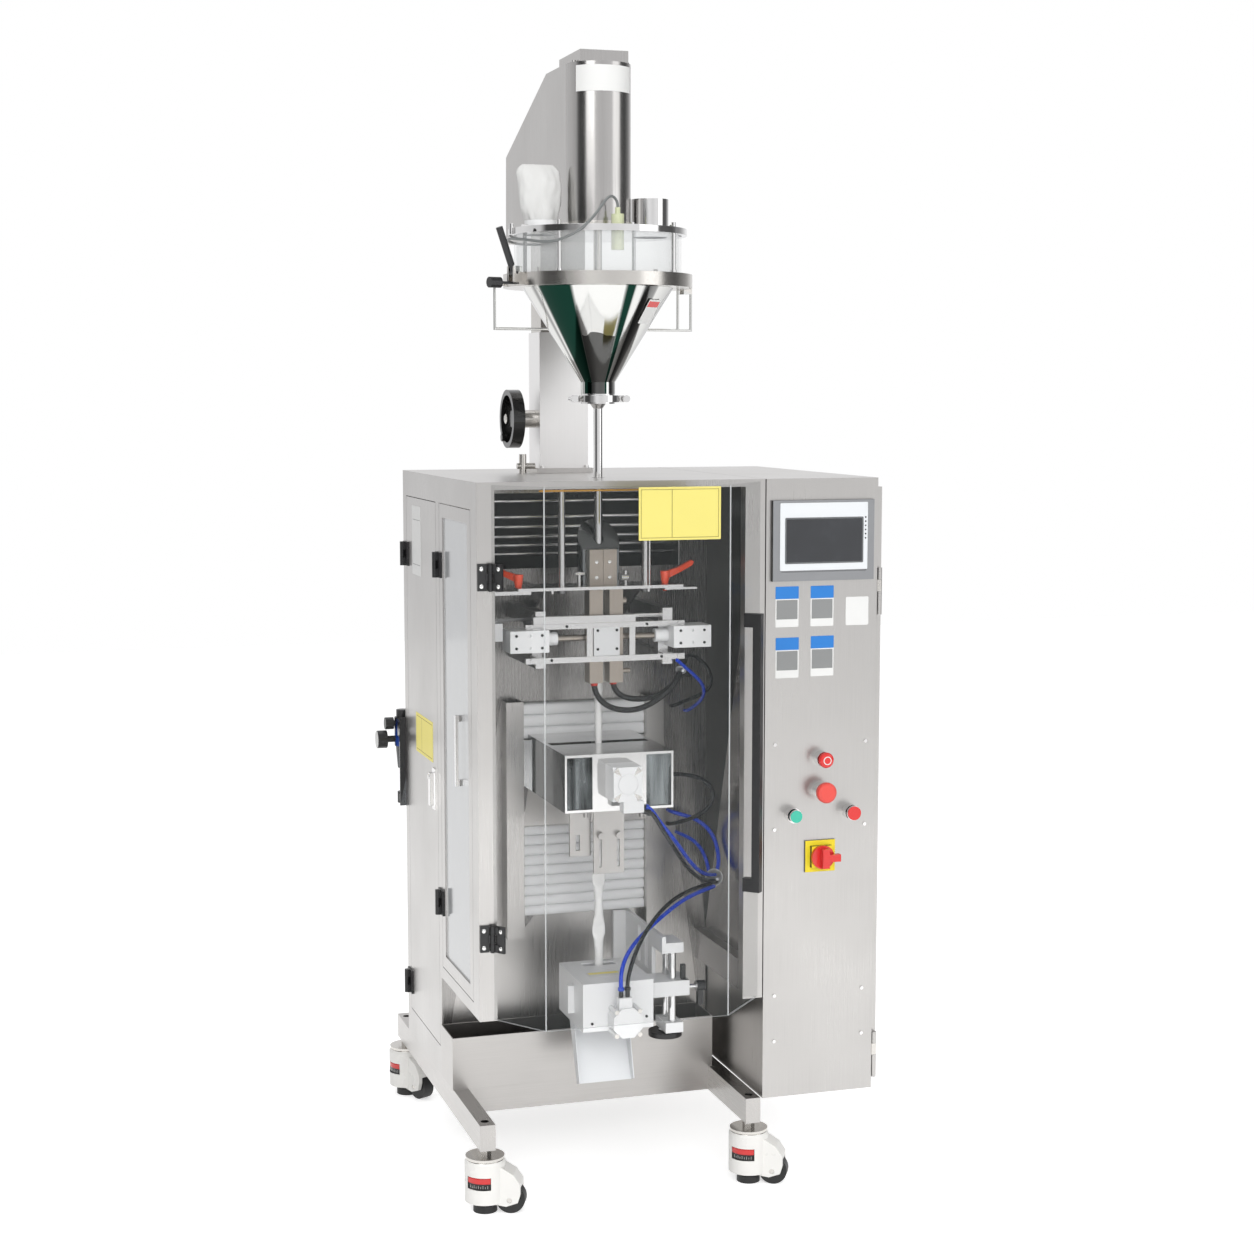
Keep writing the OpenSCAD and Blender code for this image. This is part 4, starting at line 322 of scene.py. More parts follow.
HOSES = [
    ("heater_cable_long", "fixed_cables", 11, black_sleeve, "machine", None,
     [(262, 130, 393.3), (262, 130, 402), (267, 124, 422), (286, 113, 440), (316, 108, 447),
      (350, 108, 445), (389, 114, 428), (422, 124, 403), (441, 140, 380), (456, 176, 368),
      (482, 236, 372), (505, 306, 385), (505, 326.7, 385)]),
    ("heater_cable_short", "fixed_cables", 11, black_sleeve, "machine", None,
     [(302, 136, 393.3), (302, 136, 400), (309, 135, 416), (331, 133, 428), (368, 132, 430),
      (404, 138, 421), (436, 160, 402), (460, 200, 394), (492, 254, 401), (524, 308, 410),
      (524, 326.7, 410)]),
    ("seal_tube_black", "fixed_cables", 7, black_tube, "machine", None,
     [(452, 146, 352), (472, 160, 350), (506, 185, 370), (530, 205, 402), (532, 236, 436),
      (507, 280, 456), (484, 312, 474), (484, 326.7, 475)]),
    ("seal_tube_blue", "fixed_cables", 7, blue_tube, "machine", None,
     [(420, 100, 352), (440, 118, 366), (470, 145, 388), (500, 175, 412), (516, 214, 440),
      (520, 270, 466), (513, 312, 485), (513, 326.7, 486)]),
    ("return_tube_blue", "fixed_cables", 8, blue_tube, "machine", None,
     [(477, 326.7, 691), (478, 313, 691), (486, 298, 693), (505, 288, 698), (530, 276, 708),
      (549, 254, 730), (552, 230, 758), (546, 205, 790), (530, 194, 806)]),
    ("return_tube_thin", "fixed_cables", 7, blue_tube, "machine", None,
     [(495, 326.7, 738), (496, 313, 738), (505, 298, 741), (523, 276, 752), (531, 248, 774),
      (530, 220, 800), (526, 202, 822)]),
    ("carriage_tube_side", "carriage_hoses", 8, black_tube, "machine", "carriage",
     [(389.8, 200, 598), (402, 200, 598), (440, 200, 592), (500, 200, 600), (533, 202, 628),
      (534, 214, 664), (508, 262, 700), (476, 310, 718), (476, 326.7, 719)]),
    ("carriage_tube_blue", "carriage_hoses", 8, blue_tube, "machine", "carriage",
     [(325.4, -2, 616.9), (334.8, -2, 620.3), (356, 10, 650), (395, 40, 690), (439, 90, 742),
      (486, 140, 786), (530, 184, 800)]),
    ("carriage_tube_black", "carriage_hoses", 8, black_tube, "machine", "carriage",
     [(327.3, -10, 625.6), (336.7, -10, 629), (354, -5, 658), (388, 26, 700), (430, 80, 752),
      (480, 132, 796), (530, 176, 812)]),
    ("cutter_tube_black", "cutter_hoses", 8, black_tube, "machine", "cutter",
     [(520, 180, 816), (442, 142, 822), (374, 92, 852), (324, 44, 893), (297, 12, 932),
      (290, 5, 954), (290, 5, 966)]),
    ("cutter_tube_blue", "cutter_hoses", 8, blue_tube, "machine", "cutter",
     [(530, 188, 824), (458, 164, 838), (392, 118, 864), (318, 66, 897), (284, 24, 930),
      (277, 5, 954), (277, 5, 966)]),
    ("level_sensor_lead", "sensor_cable", 5, grey_lead, "feeder", None,
     [(288, 60, -504.3), (288, 60, -511), (283, 57, -520), (272, 49, -525), (258, 38, -516),
      (236, 22, -490), (209, 10, -464), (184, 24, -447), (153, 56, -436), (124, 112, -446),
      (114, 190, -452), (124, 250, -452), (150, 306, -452), (178, 366, -454), (198, 410, -456),
      (218, 430, -458), (235.2, 430, -458)]),
]
SLEEVE_RADIUS, SLEEVE_POINTS = 0.0068, 5
for name, node, thick, material, body, mover, points in HOSES:
    route = smooth_route(points)
    tube = sweep(name, route, thick / 2000, material)
    if mover == "carriage":
        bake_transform(tube)
    elif mover:
        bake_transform(tube)
    else:
        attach(tube, body)
    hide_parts(node)
    sleeves = []
    if name.startswith("heater"):
        sleeves.append(sweep(name + "_sleeve", route[:SLEEVE_POINTS], SLEEVE_RADIUS, red_sleeve))
        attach(sleeves[0], body)


# Base frame
# Two welded leg tubes of brushed stainless steel with cross channels between them, and the bent
# sheet trough for the cables across the front. The grain follows each bar.
# Grain of brushed metal: fine lines along one axis and faint clouds from the polish
grain_group, given, made = node_group(
    "brushed_grain",
    [("Tint", "Color", (0.7, 0.7, 0.7, 1)), ("Grain", "Vector", (600, 600, 8)),
     ("Depth", "Float", 0.08), ("Gloss", "Float", 0.3)],
    [("Color", "Color"), ("Roughness", "Float"), ("Height", "Float")])
tree = grain_group
place = tree.nodes.new("ShaderNodeTexCoord").outputs["Object"]
stretch = tree.nodes.new("ShaderNodeVectorMath")
stretch.operation = "MULTIPLY"
link(tree, place, stretch.inputs[0])
link(tree, given.outputs["Grain"], stretch.inputs[1])
lines = noise_at(tree, stretch.outputs[0], 1.0, 5)
clouds = noise_at(tree, place, 5, 3)
line_part = maths(tree, "MULTIPLY", maths(tree, "SUBTRACT", lines, 0.5), given.outputs["Depth"])
cloud_part = maths(tree, "MULTIPLY", maths(tree, "SUBTRACT", clouds, 0.5), given.outputs["Depth"])
both = maths(tree, "ADD", maths(tree, "MULTIPLY", line_part, 1.6),
             maths(tree, "MULTIPLY", cloud_part, 1.4))
link(tree, tinted(tree, given.outputs["Tint"], maths(tree, "ADD", both, 1.0)), made.inputs["Color"])
link(tree, maths(tree, "SUBTRACT", given.outputs["Gloss"], both, True), made.inputs["Roughness"])
link(tree, lines, made.inputs["Height"])


def steel(name, tint, grain, gloss, depth=0.10, bump=0.08, **sockets):
    """Metal with a brushed grain that runs along the axis whose grain number is small."""
    return material_from(name, grain_group,
                         {"Tint": (*tint, 1), "Grain": grain, "Depth": depth, "Gloss": gloss},
                         bump=bump, Metallic=1.0, **sockets)


def paint(node, material, *rules):
    """Material of a CAD node; each rule is (material, test of a face's centre and normal)."""
    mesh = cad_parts[node].data
    mesh.materials.clear()
    mesh.materials.append(material)
    for other, _ in rules:
        mesh.materials.append(other)
    for face in mesh.polygons:
        face.material_index = 0
        c = face.center
        spot = Vector((c.x * 1000 + MIDDLE_X, c.y * 1000 + MIDDLE_Y, ROOF - c.z * 1000))
        for i, (_, test) in enumerate(rules):
            if test(spot, face.normal):
                face.material_index = i + 1


ALONG_X, ALONG_Y = (8, 1200, 1200), (1200, 8, 1200)
section_steel = steel("brushed_section", (0.50, 0.485, 0.47), ALONG_Y, 0.30, 0.09, 0.05)
across_steel = steel("brushed_across", (0.48, 0.465, 0.45), ALONG_X, 0.32, 0.10, 0.05)
paint("base_frame", section_steel,
      (across_steel, lambda p, n: 224 < p.y < 328 and p.z < 1208),
      (across_steel, lambda p, n: 32 < p.x < 530 and p.z > 1206))

# Levelling casters
# White enamelled housings with a rubber foot, a steel top plate and nut, and on both sides a
# recess with the red height wheel above its black scale. Each turns about its stem.
def prism(outline, origin, u, v, depth):
    """Flat outline (mm) at an origin, spanned by u and v and raised along their normal."""
    u, v, origin = Vector(u), Vector(v), at(*origin)
    n = u.cross(v) * depth / 1000
    low = [origin + (u * a + v * b) / 1000 for a, b in outline]
    k = len(low)
    faces = [tuple(range(k))[::-1], tuple(range(k, 2 * k))]
    faces += [(i, (i + 1) % k, (i + 1) % k + k, i + k) for i in range(k)]
    return low + [p + n for p in low], faces


def assemble(name, body, slot, *parts):
    """One object of several shapes, each (shape, material), on a CAD body."""
    verts, faces, marks, materials = [], [], [], []
    for (points, polygons), material in parts:
        if material not in materials:
            materials.append(material)
        start = len(verts)
        verts += points
        faces += [tuple(start + i for i in f) for f in polygons]
        marks += [materials.index(material)] * len(polygons)
    obj = piece(name, verts, faces, materials[0], body)
    for material in materials[1:]:
        obj.data.materials.append(material)
    for face, mark in zip(obj.data.polygons, marks):
        face.material_index = mark


EVEN = (300, 300, 300)
white_enamel = moulded("white_enamel", (0.78, 0.77, 0.745), 0.28, 0.05, 0.05)
black_rubber = moulded("black_rubber", (0.014, 0.014, 0.014), 0.5, 0.3, 0.5)
deep_shade = moulded("recess_shade", (0.02, 0.02, 0.02), 0.7)
nut_steel = steel("turned_steel", (0.62, 0.60, 0.57), EVEN, 0.22, 0.10)
dial_red = moulded("dial_red", (0.60, 0.012, 0.012), 0.16, 0.06, 0.0, Coat_Weight=0.5)
dial_black = moulded("dial_black", (0.010, 0.010, 0.010), 0.3)
dial_white = moulded("dial_white", (0.62, 0.62, 0.60), 0.5)
CASTERS = (("fl", 15, 30, -24), ("fr", 547, 30, -30), ("rl", 15, 760, -64), ("rr", 547, 760, -70))
TRAIL, AXLE_DROP = 50, 1352
DIAL_RINGS = ((37.3, 62.8, 64.2, dial_red), (38.4, 64.2, 73.0, dial_red), (37.3, 73.0, 74.4, dial_red),
              (36.6, 51.8, 62.6, dial_black))
SCALE_LINE = [(36, -0.3), (36.9, -0.3), (36.9, 0.3), (36, 0.3)]
SCALE_LINES, SCALE_STEP, SCALE_TOP = 9, 7, 54
for corner, x, y, turn in CASTERS:
    far = lambda p, x=x, y=y: math.hypot(p.x - x, p.y - y)
    paint("caster_" + corner, white_enamel,
          (black_rubber, lambda p, n: p.z > 1355 and far(p) < 24),
          (nut_steel, lambda p, n: p.z < 1277.5),
          (deep_shade, lambda p, n: 1304 < p.z < 1330 and far(p) < 37.2))
    ahead = Vector((math.cos(math.radians(turn)), math.sin(math.radians(turn)), 0))
    wheel = Vector((x, y, 0)) + TRAIL * ahead
    across = Vector((-ahead.y, ahead.x, 0))
    paint("caster_wheel_" + corner, black_rubber,
          (nut_steel, lambda p, n: Vector((p.x - wheel.x, p.y - wheel.y, 0)).cross(across).length < 5
           and abs(p.z - AXLE_DROP) < 5))
    for side in (1, -1):
        a = math.radians(turn + side * 100)
        out, along = Vector((math.cos(a), math.sin(a), 0)), Vector((-math.sin(a), math.cos(a), 0))
        parts = []
        for r, low, high, material in DIAL_RINGS:
            arc = [math.radians(4 * k) for k in range(-9, 10)]
            plan = [(30, -22)] + [(r * math.cos(w), r * math.sin(w)) for w in arc] + [(30, 22)]
            parts.append((prism(plan, (x, y, ROOF - low), out, along, high - low), material))
        for k in range(SCALE_LINES):
            w = math.radians((k - SCALE_LINES // 2) * SCALE_STEP)
            tip, wide = out * math.cos(w) + along * math.sin(w), along * math.cos(w) - out * math.sin(w)
            tall = 6 - 2 * (k % 2)
            parts.append((prism(SCALE_LINE, (x, y, ROOF - SCALE_TOP), tip, wide, tall), dial_white))
        assemble("caster_dial_%s_%s" % (corner, "outer" if side > 0 else "inner"), "caster_" + corner,
                 "red_plastic", *parts)

# Cabinet shell
# Bent and welded sheet of brushed stainless steel: roof pan, side walls, stiles and floor. Inside the
# rear body, where the film reel and the rods stand, it is painted a dull near-black as painted shade,
# and the chamber's side walls are painted a darker steel than the outside as painted shade.
UP = (1200, 1200, 8)
sheet_steel = steel("sheet_steel", (0.50, 0.488, 0.475), UP, 0.31, 0.10, 0.03)
roof_steel = steel("roof_steel", (0.56, 0.545, 0.53), ALONG_X, 0.30, 0.07, 0.05)
shaded_inside_steel = steel("inside_painted_shade", (0.08, 0.08, 0.08), UP, 0.45, 0.2)
shaded_wall_steel = steel("chamber_wall_painted_shade", (0.34, 0.33, 0.325), UP, 0.24, 0.09, 0.03)
paint("cabinet_shell", sheet_steel,
      (roof_steel, lambda p, n: p.z < 0.5 and n.z > 0.5),
      (shaded_inside_steel, lambda p, n: p.y > 331 and 1.5 < p.x < 560.5 and 1.5 < p.z < 1205.5 and p.y < 661.5),
      (shaded_wall_steel, lambda p, n: 26 < p.y < 327 and 1.5 < p.x < 560.5 and p.z > 1.5 and abs(n.x) > 0.5))

# Chamber rear wall
# One brushed sheet behind the seals, with the film window and the carriage slot cut out and a
# folded channel on each side of the bellows. It is painted a darker steel than the front as painted
# shade, except low down and on its front-most faces.
def rounded(w, h, r=0.0, corner=5):
    """Outline of a rectangle with round corners, its low left corner at the origin."""
    if r <= 0:
        return [(0, 0), (w, 0), (w, h), (0, h)]
    out = []
    for cx, cy, start in ((w - r, r, -90), (w - r, h - r, 0), (r, h - r, 90), (r, r, 180)):
        for k in range(corner + 1):
            a = math.radians(start + 90 * k / corner)
            out.append((cx + r * math.cos(a), cy + r * math.sin(a)))
    return out


FRONT = ((1, 0, 0), (0, 0, 1))
shaded_plate_steel = steel("brushed_plate_painted_shade", (0.33, 0.32, 0.31), UP, 0.27, 0.10, 0.03)
low_plate_steel = steel("brushed_plate_low", (0.52, 0.505, 0.49), UP, 0.30, 0.09, 0.03)
rod_steel = steel("ground_rod", (0.72, 0.72, 0.72), ALONG_X, 0.14, 0.05, 0.02)
mirror_steel = steel("polished_steel", (0.74, 0.735, 0.73), EVEN, 0.07, 0.05, 0.0)
# Polished steel painted dark as painted shade, for the forming shoulder and the carriage's left face
shaded_mirror = steel("shaded_mirror", (0.20, 0.21, 0.215), EVEN, 0.06, 0.06, 0.0)
amber = moulded("amber_strip", (0.62, 0.30, 0.03), 0.35)
paint("back_plate", shaded_plate_steel, (low_plate_steel, lambda p, n: p.z > 800 or p.y < 322))
# Their parts at the far back and their end faces are painted near-black as painted shade.
paint("inner_shafts", rod_steel, (shaded_inside_steel, lambda p, n: p.y > 600 or abs(n.x) > 0.9 and 55 < p.x < 506))
red_reel = moulded("film_reel_side", (0.05, 0.012, 0.014), 0.35, 0.2)
paint("film_reel", red_reel)
assemble("amber_strip", "machine", "grey_plastic",
         (prism(rounded(300, 3.4, 1), (126, 30, 20), *FRONT, 4), amber))

# Control box and its touch panel
# The box is brushed sheet with its door on barrel hinges. The panel is a grey frame with a white
# face plate, the dark screen sunk in it and six small lamps beside it.
def turned(profile, origin, axis, sides=28):
    """Round piece from (radius, height) pairs in mm along an axis through the origin."""
    axis = Vector(axis).normalized()
    side, origin = axis.orthogonal().normalized(), at(*origin)
    other = axis.cross(side)
    verts = []
    for r, h in profile:
        for k in range(sides):
            a = 2 * math.pi * k / sides
            verts.append(origin + (axis * h + (side * math.cos(a) + other * math.sin(a)) * r) / 1000)
    return verts, closed_rings(len(profile), sides)


bezel_grey = moulded("bezel_grey", (0.22, 0.225, 0.235), 0.32, 0.08, 0.2, Coat_Weight=0.2)
face_white = moulded("panel_face_white", (0.66, 0.68, 0.70), 0.35, 0.03)
screen_dark = moulded("screen_glass", (0.016, 0.018, 0.022), 0.10, 0.9, 0.0, Coat_Weight=0.6)
screen_rim = moulded("screen_rim", (0.11, 0.115, 0.12), 0.3)
box_gear = moulded("switchgear_grey", (0.42, 0.43, 0.44), 0.45)
paint("control_box", sheet_steel,
      (box_gear, lambda p, n: 591 < p.x < 780 and 50 < p.y < 620 and 45 < p.z < 1160),
      (roof_steel, lambda p, n: p.z < 0.5 and n.z > 0.5))
paint("control_door", sheet_steel, (nut_steel, lambda p, n: p.x > 806.2))
paint("hmi", bezel_grey, (black_rubber, lambda p, n: abs(n.y) < 0.7 or p.y > -0.5))
panel_x, panel_low = 575, 195
assemble("panel_face", "machine", "white_plastic",
         (prism(rounded(180, 129, 2), (panel_x + 14, -8, panel_low - 20), *FRONT, 1.2), face_white),
         (prism(rounded(161, 88, 2.5), (panel_x + 24, -9.2, panel_low - 33), *FRONT, 0.5), screen_rim),
         (prism(rounded(155, 82, 1.5), (panel_x + 27, -9.7, panel_low - 36), *FRONT, 0.3), screen_dark),
         *[(turned([(1.6, 0), (1.6, 0.5), (1.1, 0.8)], (panel_x + 189.5, -9.2, panel_low - 80 - 8 * k),
                   (0, -1, 0), 12), dial_black) for k in range(6)])

# Label blocks on the control box
# Foil labels stuck on the sheet above the buttons: four with a blue head, a grey field and a white
# foot, and one plain white.
label_wide = 47.6
label_blue = moulded("label_blue", (0.015, 0.17, 0.52), 0.35, 0.06)
label_grey = moulded("label_grey", (0.22, 0.225, 0.225), 0.5, 0.12)
label_white = moulded("label_white", (0.68, 0.68, 0.67), 0.45, 0.03)
for k, (x, drop) in enumerate(((607.5, 244.5), (679.6, 244.7), (608.5, 342.7), (680.7, 341.4))):
    left, low = x - label_wide / 2, drop + 39
    assemble("label_block_%d" % k, "machine", "white_plastic",
             (prism(rounded(label_wide, 78, 1.5), (left, 0, low), *FRONT, 0.3), label_white),
             (prism(rounded(label_wide, 24, 1.2), (left, -0.3, low - 54), *FRONT, 0.12), label_blue),
             (prism(rounded(43, 37, 1), (left + 2.3, -0.3, low - 15), *FRONT, 0.12), label_grey))
assemble("label_blank", "machine", "white_plastic",
         (prism(rounded(label_wide, 55, 3), (752.5 - label_wide / 2, 0, 256.5 + 27.5), *FRONT, 0.3),
          label_white))

# Buttons and the isolator
# Polished sleeves screwed through the box hold moulded caps: red twist release and emergency stop,
# green start, red stop. The isolator's red handle turns on a black collar over a yellow plate.
red_plastic = moulded("red_plastic", (0.62, 0.018, 0.016), 0.22, 0.05, 0.02, Coat_Weight=0.3)
soft_red = moulded("emergency_red", (0.68, 0.07, 0.055), 0.3, 0.05, 0.02)
green_plastic = moulded("green_plastic", (0.03, 0.44, 0.31), 0.25, 0.05, 0.02, Coat_Weight=0.3)
yellow_plate = moulded("yellow_plate", (0.78, 0.62, 0.02), 0.4, 0.05)
black_paint = moulded("black_fittings", (0.012, 0.012, 0.013), 0.34, 0.2, 0.3)
paint("panel_fittings", mirror_steel,
      (black_paint, lambda p, n: abs(p.z - 732) < 33 and abs(p.x - 679) < 33),
      (yellow_plate, lambda p, n: abs(p.z - 732) < 30.5 and abs(p.x - 679) < 30.5 and n.y < -0.9))
paint("twist_release", red_plastic)
paint("emergency_stop", soft_red)
paint("start_button", green_plastic)
paint("stop_button", red_plastic)
paint("isolator_knob", red_plastic)
for name, body, x, r in (("start_ring", "start_button", 619, 12), ("stop_ring", "stop_button", 739, 13.5)):
    bezel = [(r - 1.5, 0), (r + 0.8, 0), (r + 0.8, 3.6), (r - 1.5, 3.6)]
    assemble(name, body, "polished", (turned(bezel, (x, -25, 647), (0, -1, 0)), mirror_steel))
twist_cap = (679, -37, 540)
assemble("twist_mark", "twist_release", "white_plastic",
         (turned([(6.5, 0), (8.2, 0), (8.2, 0.3), (6.5, 0.3)], twist_cap, (0, -1, 0)), label_white),
         (turned([(0.1, 0), (6.4, 0), (6.4, 0.32), (0.1, 0.32)], twist_cap, (0, -1, 0)), red_plastic))

# Doors on the left side
# Flat sheet doors on black hinges: the rear one with its polished latch and two blank cards, the
# front one a frame round a milky pane with a slender handle.
LEFT = ((0, -1, 0), (0, 0, 1))
milky_pane = moulded("milky_pane", (0.42, 0.43, 0.44), 0.12, 0.10, 0.0, Coat_Weight=0.4)
card_yellow = moulded("card_yellow", (0.90, 0.79, 0.20), 0.5, 0.05)
card_line = moulded("card_line", (0.34, 0.27, 0.05), 0.6)
on_knuckle = lambda p, n: p.x < -3.9 and (abs(p.y - 630) < 9 or abs(p.y - 315) < 9)
on_leaf = lambda p, n: -4.1 < p.x < -0.05 and (604 < p.y < 632 or 290 < p.y < 318)
paint("side_door", sheet_steel, (black_paint, on_knuckle), (black_paint, on_leaf),
      (mirror_steel, lambda p, n: p.x < -0.5 and 355 < p.y < 392 and 580 < p.z < 680))
paint("window_door", sheet_steel, (black_paint, on_knuckle), (black_paint, on_leaf),
      (milky_pane, lambda p, n: 2.9 < p.x < 7.2 and abs(n.x) > 0.5),
      (mirror_steel, lambda p, n: p.x < 1 and 113 < p.y < 124 and 430 < p.z < 590))
paint("hinge_leaves", black_paint, (nut_steel, lambda p, n: p.x > 793))
assemble("side_card_white", "side_door", "white_plastic",
         (prism(rounded(86, 142, 2), (0, 572, 211), *LEFT, 0.5), label_white),
         (prism(rounded(70, 1.2), (-0.5, 564, 98), *LEFT, 0.1), label_grey),
         (prism(rounded(70, 1.2), (-0.5, 564, 190), *LEFT, 0.1), label_grey))
assemble("side_card_yellow", "side_door", "grey_plastic",
         (prism(rounded(162, 82, 2), (0, 551, 579), *LEFT, 0.5), card_yellow),
         (prism(rounded(1.2, 70), (-0.5, 495, 573), *LEFT, 0.1), card_line),
         (prism(rounded(150, 1.2), (-0.5, 545, 573), *LEFT, 0.1), card_line),
         (prism(rounded(150, 1.2), (-0.5, 545, 504), *LEFT, 0.1), card_line))

# Clear front door
# One acrylic pane bent at two upright lines; its edges and both bend lines are painted pale as
# painted highlight. Black hinges with bright screws hold it on the left and a black bar handle
# stands off its right slope.
clear_pane = moulded("clear_acrylic", (0.12, 0.13, 0.13), 0.03, 0.02, 0.0, edge=0, Alpha=0.08)
pane_highlight = moulded("acrylic_painted_highlight", (0.66, 0.68, 0.69), 0.1, 0.05, 0.0, edge=0, Alpha=0.55)
paint("front_door", clear_pane, (pane_highlight, lambda p, n: abs(n.z) > 0.5 or abs(n.x) > 0.93))
paint("door_hardware", black_paint)
for k, x in enumerate((100.3, 454.9)):
    bend = sweep("pane_bend_highlight_%d" % k, [at(x, -101.4, drop) for drop in (6, 500, 1002)], 0.0014, pane_highlight, 8)
    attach(bend, "front_door")
assemble("door_card", "front_door", "grey_plastic",
         (prism(rounded(158, 97, 1.5), (279, -98.1, 105), *FRONT, 0.6), card_yellow),
         *[(prism(rounded(w, h), (279 + x, -98.7, 105 - z), *FRONT, 0.12), card_line)
           for x, z, w, h in ((4, 4, 150, 1.2), (4, 91.8, 150, 1.2), (4, 4, 1.2, 89), (152.8, 4, 1.2, 89),
                              (63, 4, 1.4, 89))])
screw_steel = steel("screw_heads", (0.75, 0.75, 0.74), EVEN, 0.2, 0.05)
DOMED_SCREW = [(4.4, -1.5), (4.4, 1.1), (3.2, 2.3), (1.2, 2.7)]
slope_angle = math.atan2(-103.7, 71)
slope_run = Vector((math.cos(slope_angle), math.sin(slope_angle), 0))
slope_out = Vector((math.sin(slope_angle), -math.cos(slope_angle), 0))
leaf_middle = Vector((28, -0.3, 0)) + slope_run * 21 + slope_out * 5
for name, body, leaf, facing in (("hinge_screws_fixed", "machine", Vector((8, -5, 0)), (0, -1, 0)),
                                 ("hinge_screws_door", "front_door", leaf_middle, slope_out)):
    assemble(name, body, "polished",
             *[(turned(DOMED_SCREW, (leaf.x, leaf.y, drop + dz), facing, 18), screw_steel)
               for drop in (173, 847) for dz in (-16, 16)])

# Forming station
# The film is folded over a polished shoulder on a ground plate hung from the roof by three rods.
# Two bronze-grey blocks clamp the tube, and orange-red levers lock the plate.
jaw_bronze = steel("jaw_metal", (0.40, 0.355, 0.31), UP, 0.33, 0.16)
lever_red = moulded("lever_red", (0.78, 0.075, 0.025), 0.28, 0.05, 0.02, Coat_Weight=0.2)
bright_bar = steel("bright_bar", (0.74, 0.735, 0.73), ALONG_X, 0.22, 0.08)
upright_rod = steel("upright_rod", (0.70, 0.695, 0.69), UP, 0.15, 0.06)
dark_steel = steel("shaded_steel", (0.22, 0.22, 0.22), ALONG_X, 0.3, 0.2)
paint("forming_plate", bright_bar,
      (upright_rod, lambda p, n: p.z < 176 and p.x > 188 and not 254 < p.x < 310),
      (jaw_bronze, lambda p, n: 254 < p.x < 310 and 135 < p.y < 152 and p.z < 204.5),
      (dark_steel, lambda p, n: p.z > 212 and p.y > 120))
# The polished shoulder is painted dark as painted shade.
paint("forming_shoulder", shaded_mirror)
for side in ("left", "right"):
    paint("clamp_lever_" + side, lever_red)
BLOCK_SCREW = [(3.4, -2), (3.4, 0.8), (2.4, 1.4), (1.0, 1.4)]
assemble("clamp_screws", "machine", "polished",
         *[(turned(BLOCK_SCREW, (x, 136, drop), (0, -1, 0), 16), screw_steel)
           for x in (269, 295) for drop in (191, 161)])

# Vertical seal station
# Two anodised bars and their posts carry the pair of bronze-grey heated jaws, pushed together by
# the white cylinders at both ends. Small socket screws hold the cylinders.
anodised = steel("clear_anodised", (0.74, 0.745, 0.75), (500, 500, 500), 0.42, 0.04, 0.05)
white_metal = moulded("white_lacquer", (0.78, 0.785, 0.79), 0.32, 0.04, 0.03)
paint("seal_frame", bright_bar,
      (white_metal, lambda p, n: (p.x < 187 or p.x > 381) and 83 < p.y < 145 and 283 < p.z < 327),
      (anodised, lambda p, n: 252 < p.x < 308 and p.y < 113 and 276 < p.z < 338),
      (dark_steel, lambda p, n: p.y > 145 and not 40 < p.x < 60))
for side in ("left", "right"):
    paint("seal_jaw_" + side, jaw_bronze)
SOCKET_SCREW = [(2.7, -2.5), (2.7, 1.4), (1.6, 1.4), (1.6, 0.2), (0.1, 0.2)]
cylinder_screws = [(x, 84, drop) for x in (96, 146, 422, 470) for drop in (293, 317)]
block_screws = [(x, 106, drop) for drop in (290, 326) for x in (262, 300)]
bar_screws = [(170, 104, 344), (390, 104, 344), (200, 104, 280), (360, 104, 280)]
assemble("seal_screws", "machine", "black_metal",
         *[(turned(SOCKET_SCREW, spot, (0, -1, 0), 16), black_paint)
           for spot in cylinder_screws + block_screws + bar_screws])
white_tie = moulded("white_cable_tie", (0.70, 0.71, 0.72), 0.4)


def tie(name, centre, axis, r):
    """Cable tie: a flat band round a bundle with its square head."""
    x, y, drop = centre
    band = turned([(r, -1.6), (r + 1.2, -1.6), (r + 1.2, 1.6), (r, 1.6), (r, -1.6)], centre, axis, 20)
    head = prism(rounded(5, 5, 1), (x - 2.5, y - r - 1, drop + 2.5), *FRONT, 3.2)
    assemble(name, "machine", "white_plastic", (band, white_tie), (head, white_tie))


tie("tie_heater_cables", (440, 136, 376), (0.4, 0.5, 0.6), 9)
tie("tie_hose_junction", (530, 190, 806), (0.3, 0.9, -0.1), 16)

# Cross sealing carriage
# Polished box with dark windows either side of its front panel, the white air cylinder bolted to
# it and slotted guide plates below. It slides down with the film at each stroke.
window_dark = steel("dark_window", (0.17, 0.185, 0.19), (55, 55, 5), 0.04, 1.9, 0.0)
# The left face of the box is painted dark as painted shade.
paint("carriage_box", mirror_steel,
      (window_dark, lambda p, n: 35 < p.y < 37 and p.z < 622),
      (shaded_mirror, lambda p, n: p.x < 175 and n.x < -0.5),
      (bright_bar, lambda p, n: n.z > 0.5 and p.z < 517),
      (section_steel, lambda p, n: p.z > 628 or p.y > 303))
paint("carriage_cylinder", white_metal,
      (black_paint, lambda p, n: p.z > 601 and p.x > 311),
      (nut_steel, lambda p, n: p.y < -22 and math.hypot(abs(p.x - 282) - 20, abs(p.z - 567) - 25) < 4.5))
paint("jaw_front", jaw_bronze)
blue_collar = moulded("blue_collar", (0.01, 0.06, 0.5), 0.3)
COLLAR = [(4.1, -2.5), (6.4, -2.5), (6.4, 2), (5.6, 3.4), (4.1, 3.4)]
for name, spot, material in (("collar_blue_upper", (325.3, -2, 616.8), blue_collar),
                             ("collar_black_upper", (327.1, -10, 625.5), black_paint)):
    assemble(name, "carriage", "blue_plastic", (turned(COLLAR, spot, (0.94, 0, -0.342), 20), material))

# Bellows
# White pleated walls that close the slot above and below the carriage arm, running from the
# channels to the carriage.
bellows_white = moulded("bellows_white", (0.88, 0.885, 0.89), 0.45, 0.05, 0.1)
valley_y, crest_reach, wall_y = 315.4, 11.2, 326.7


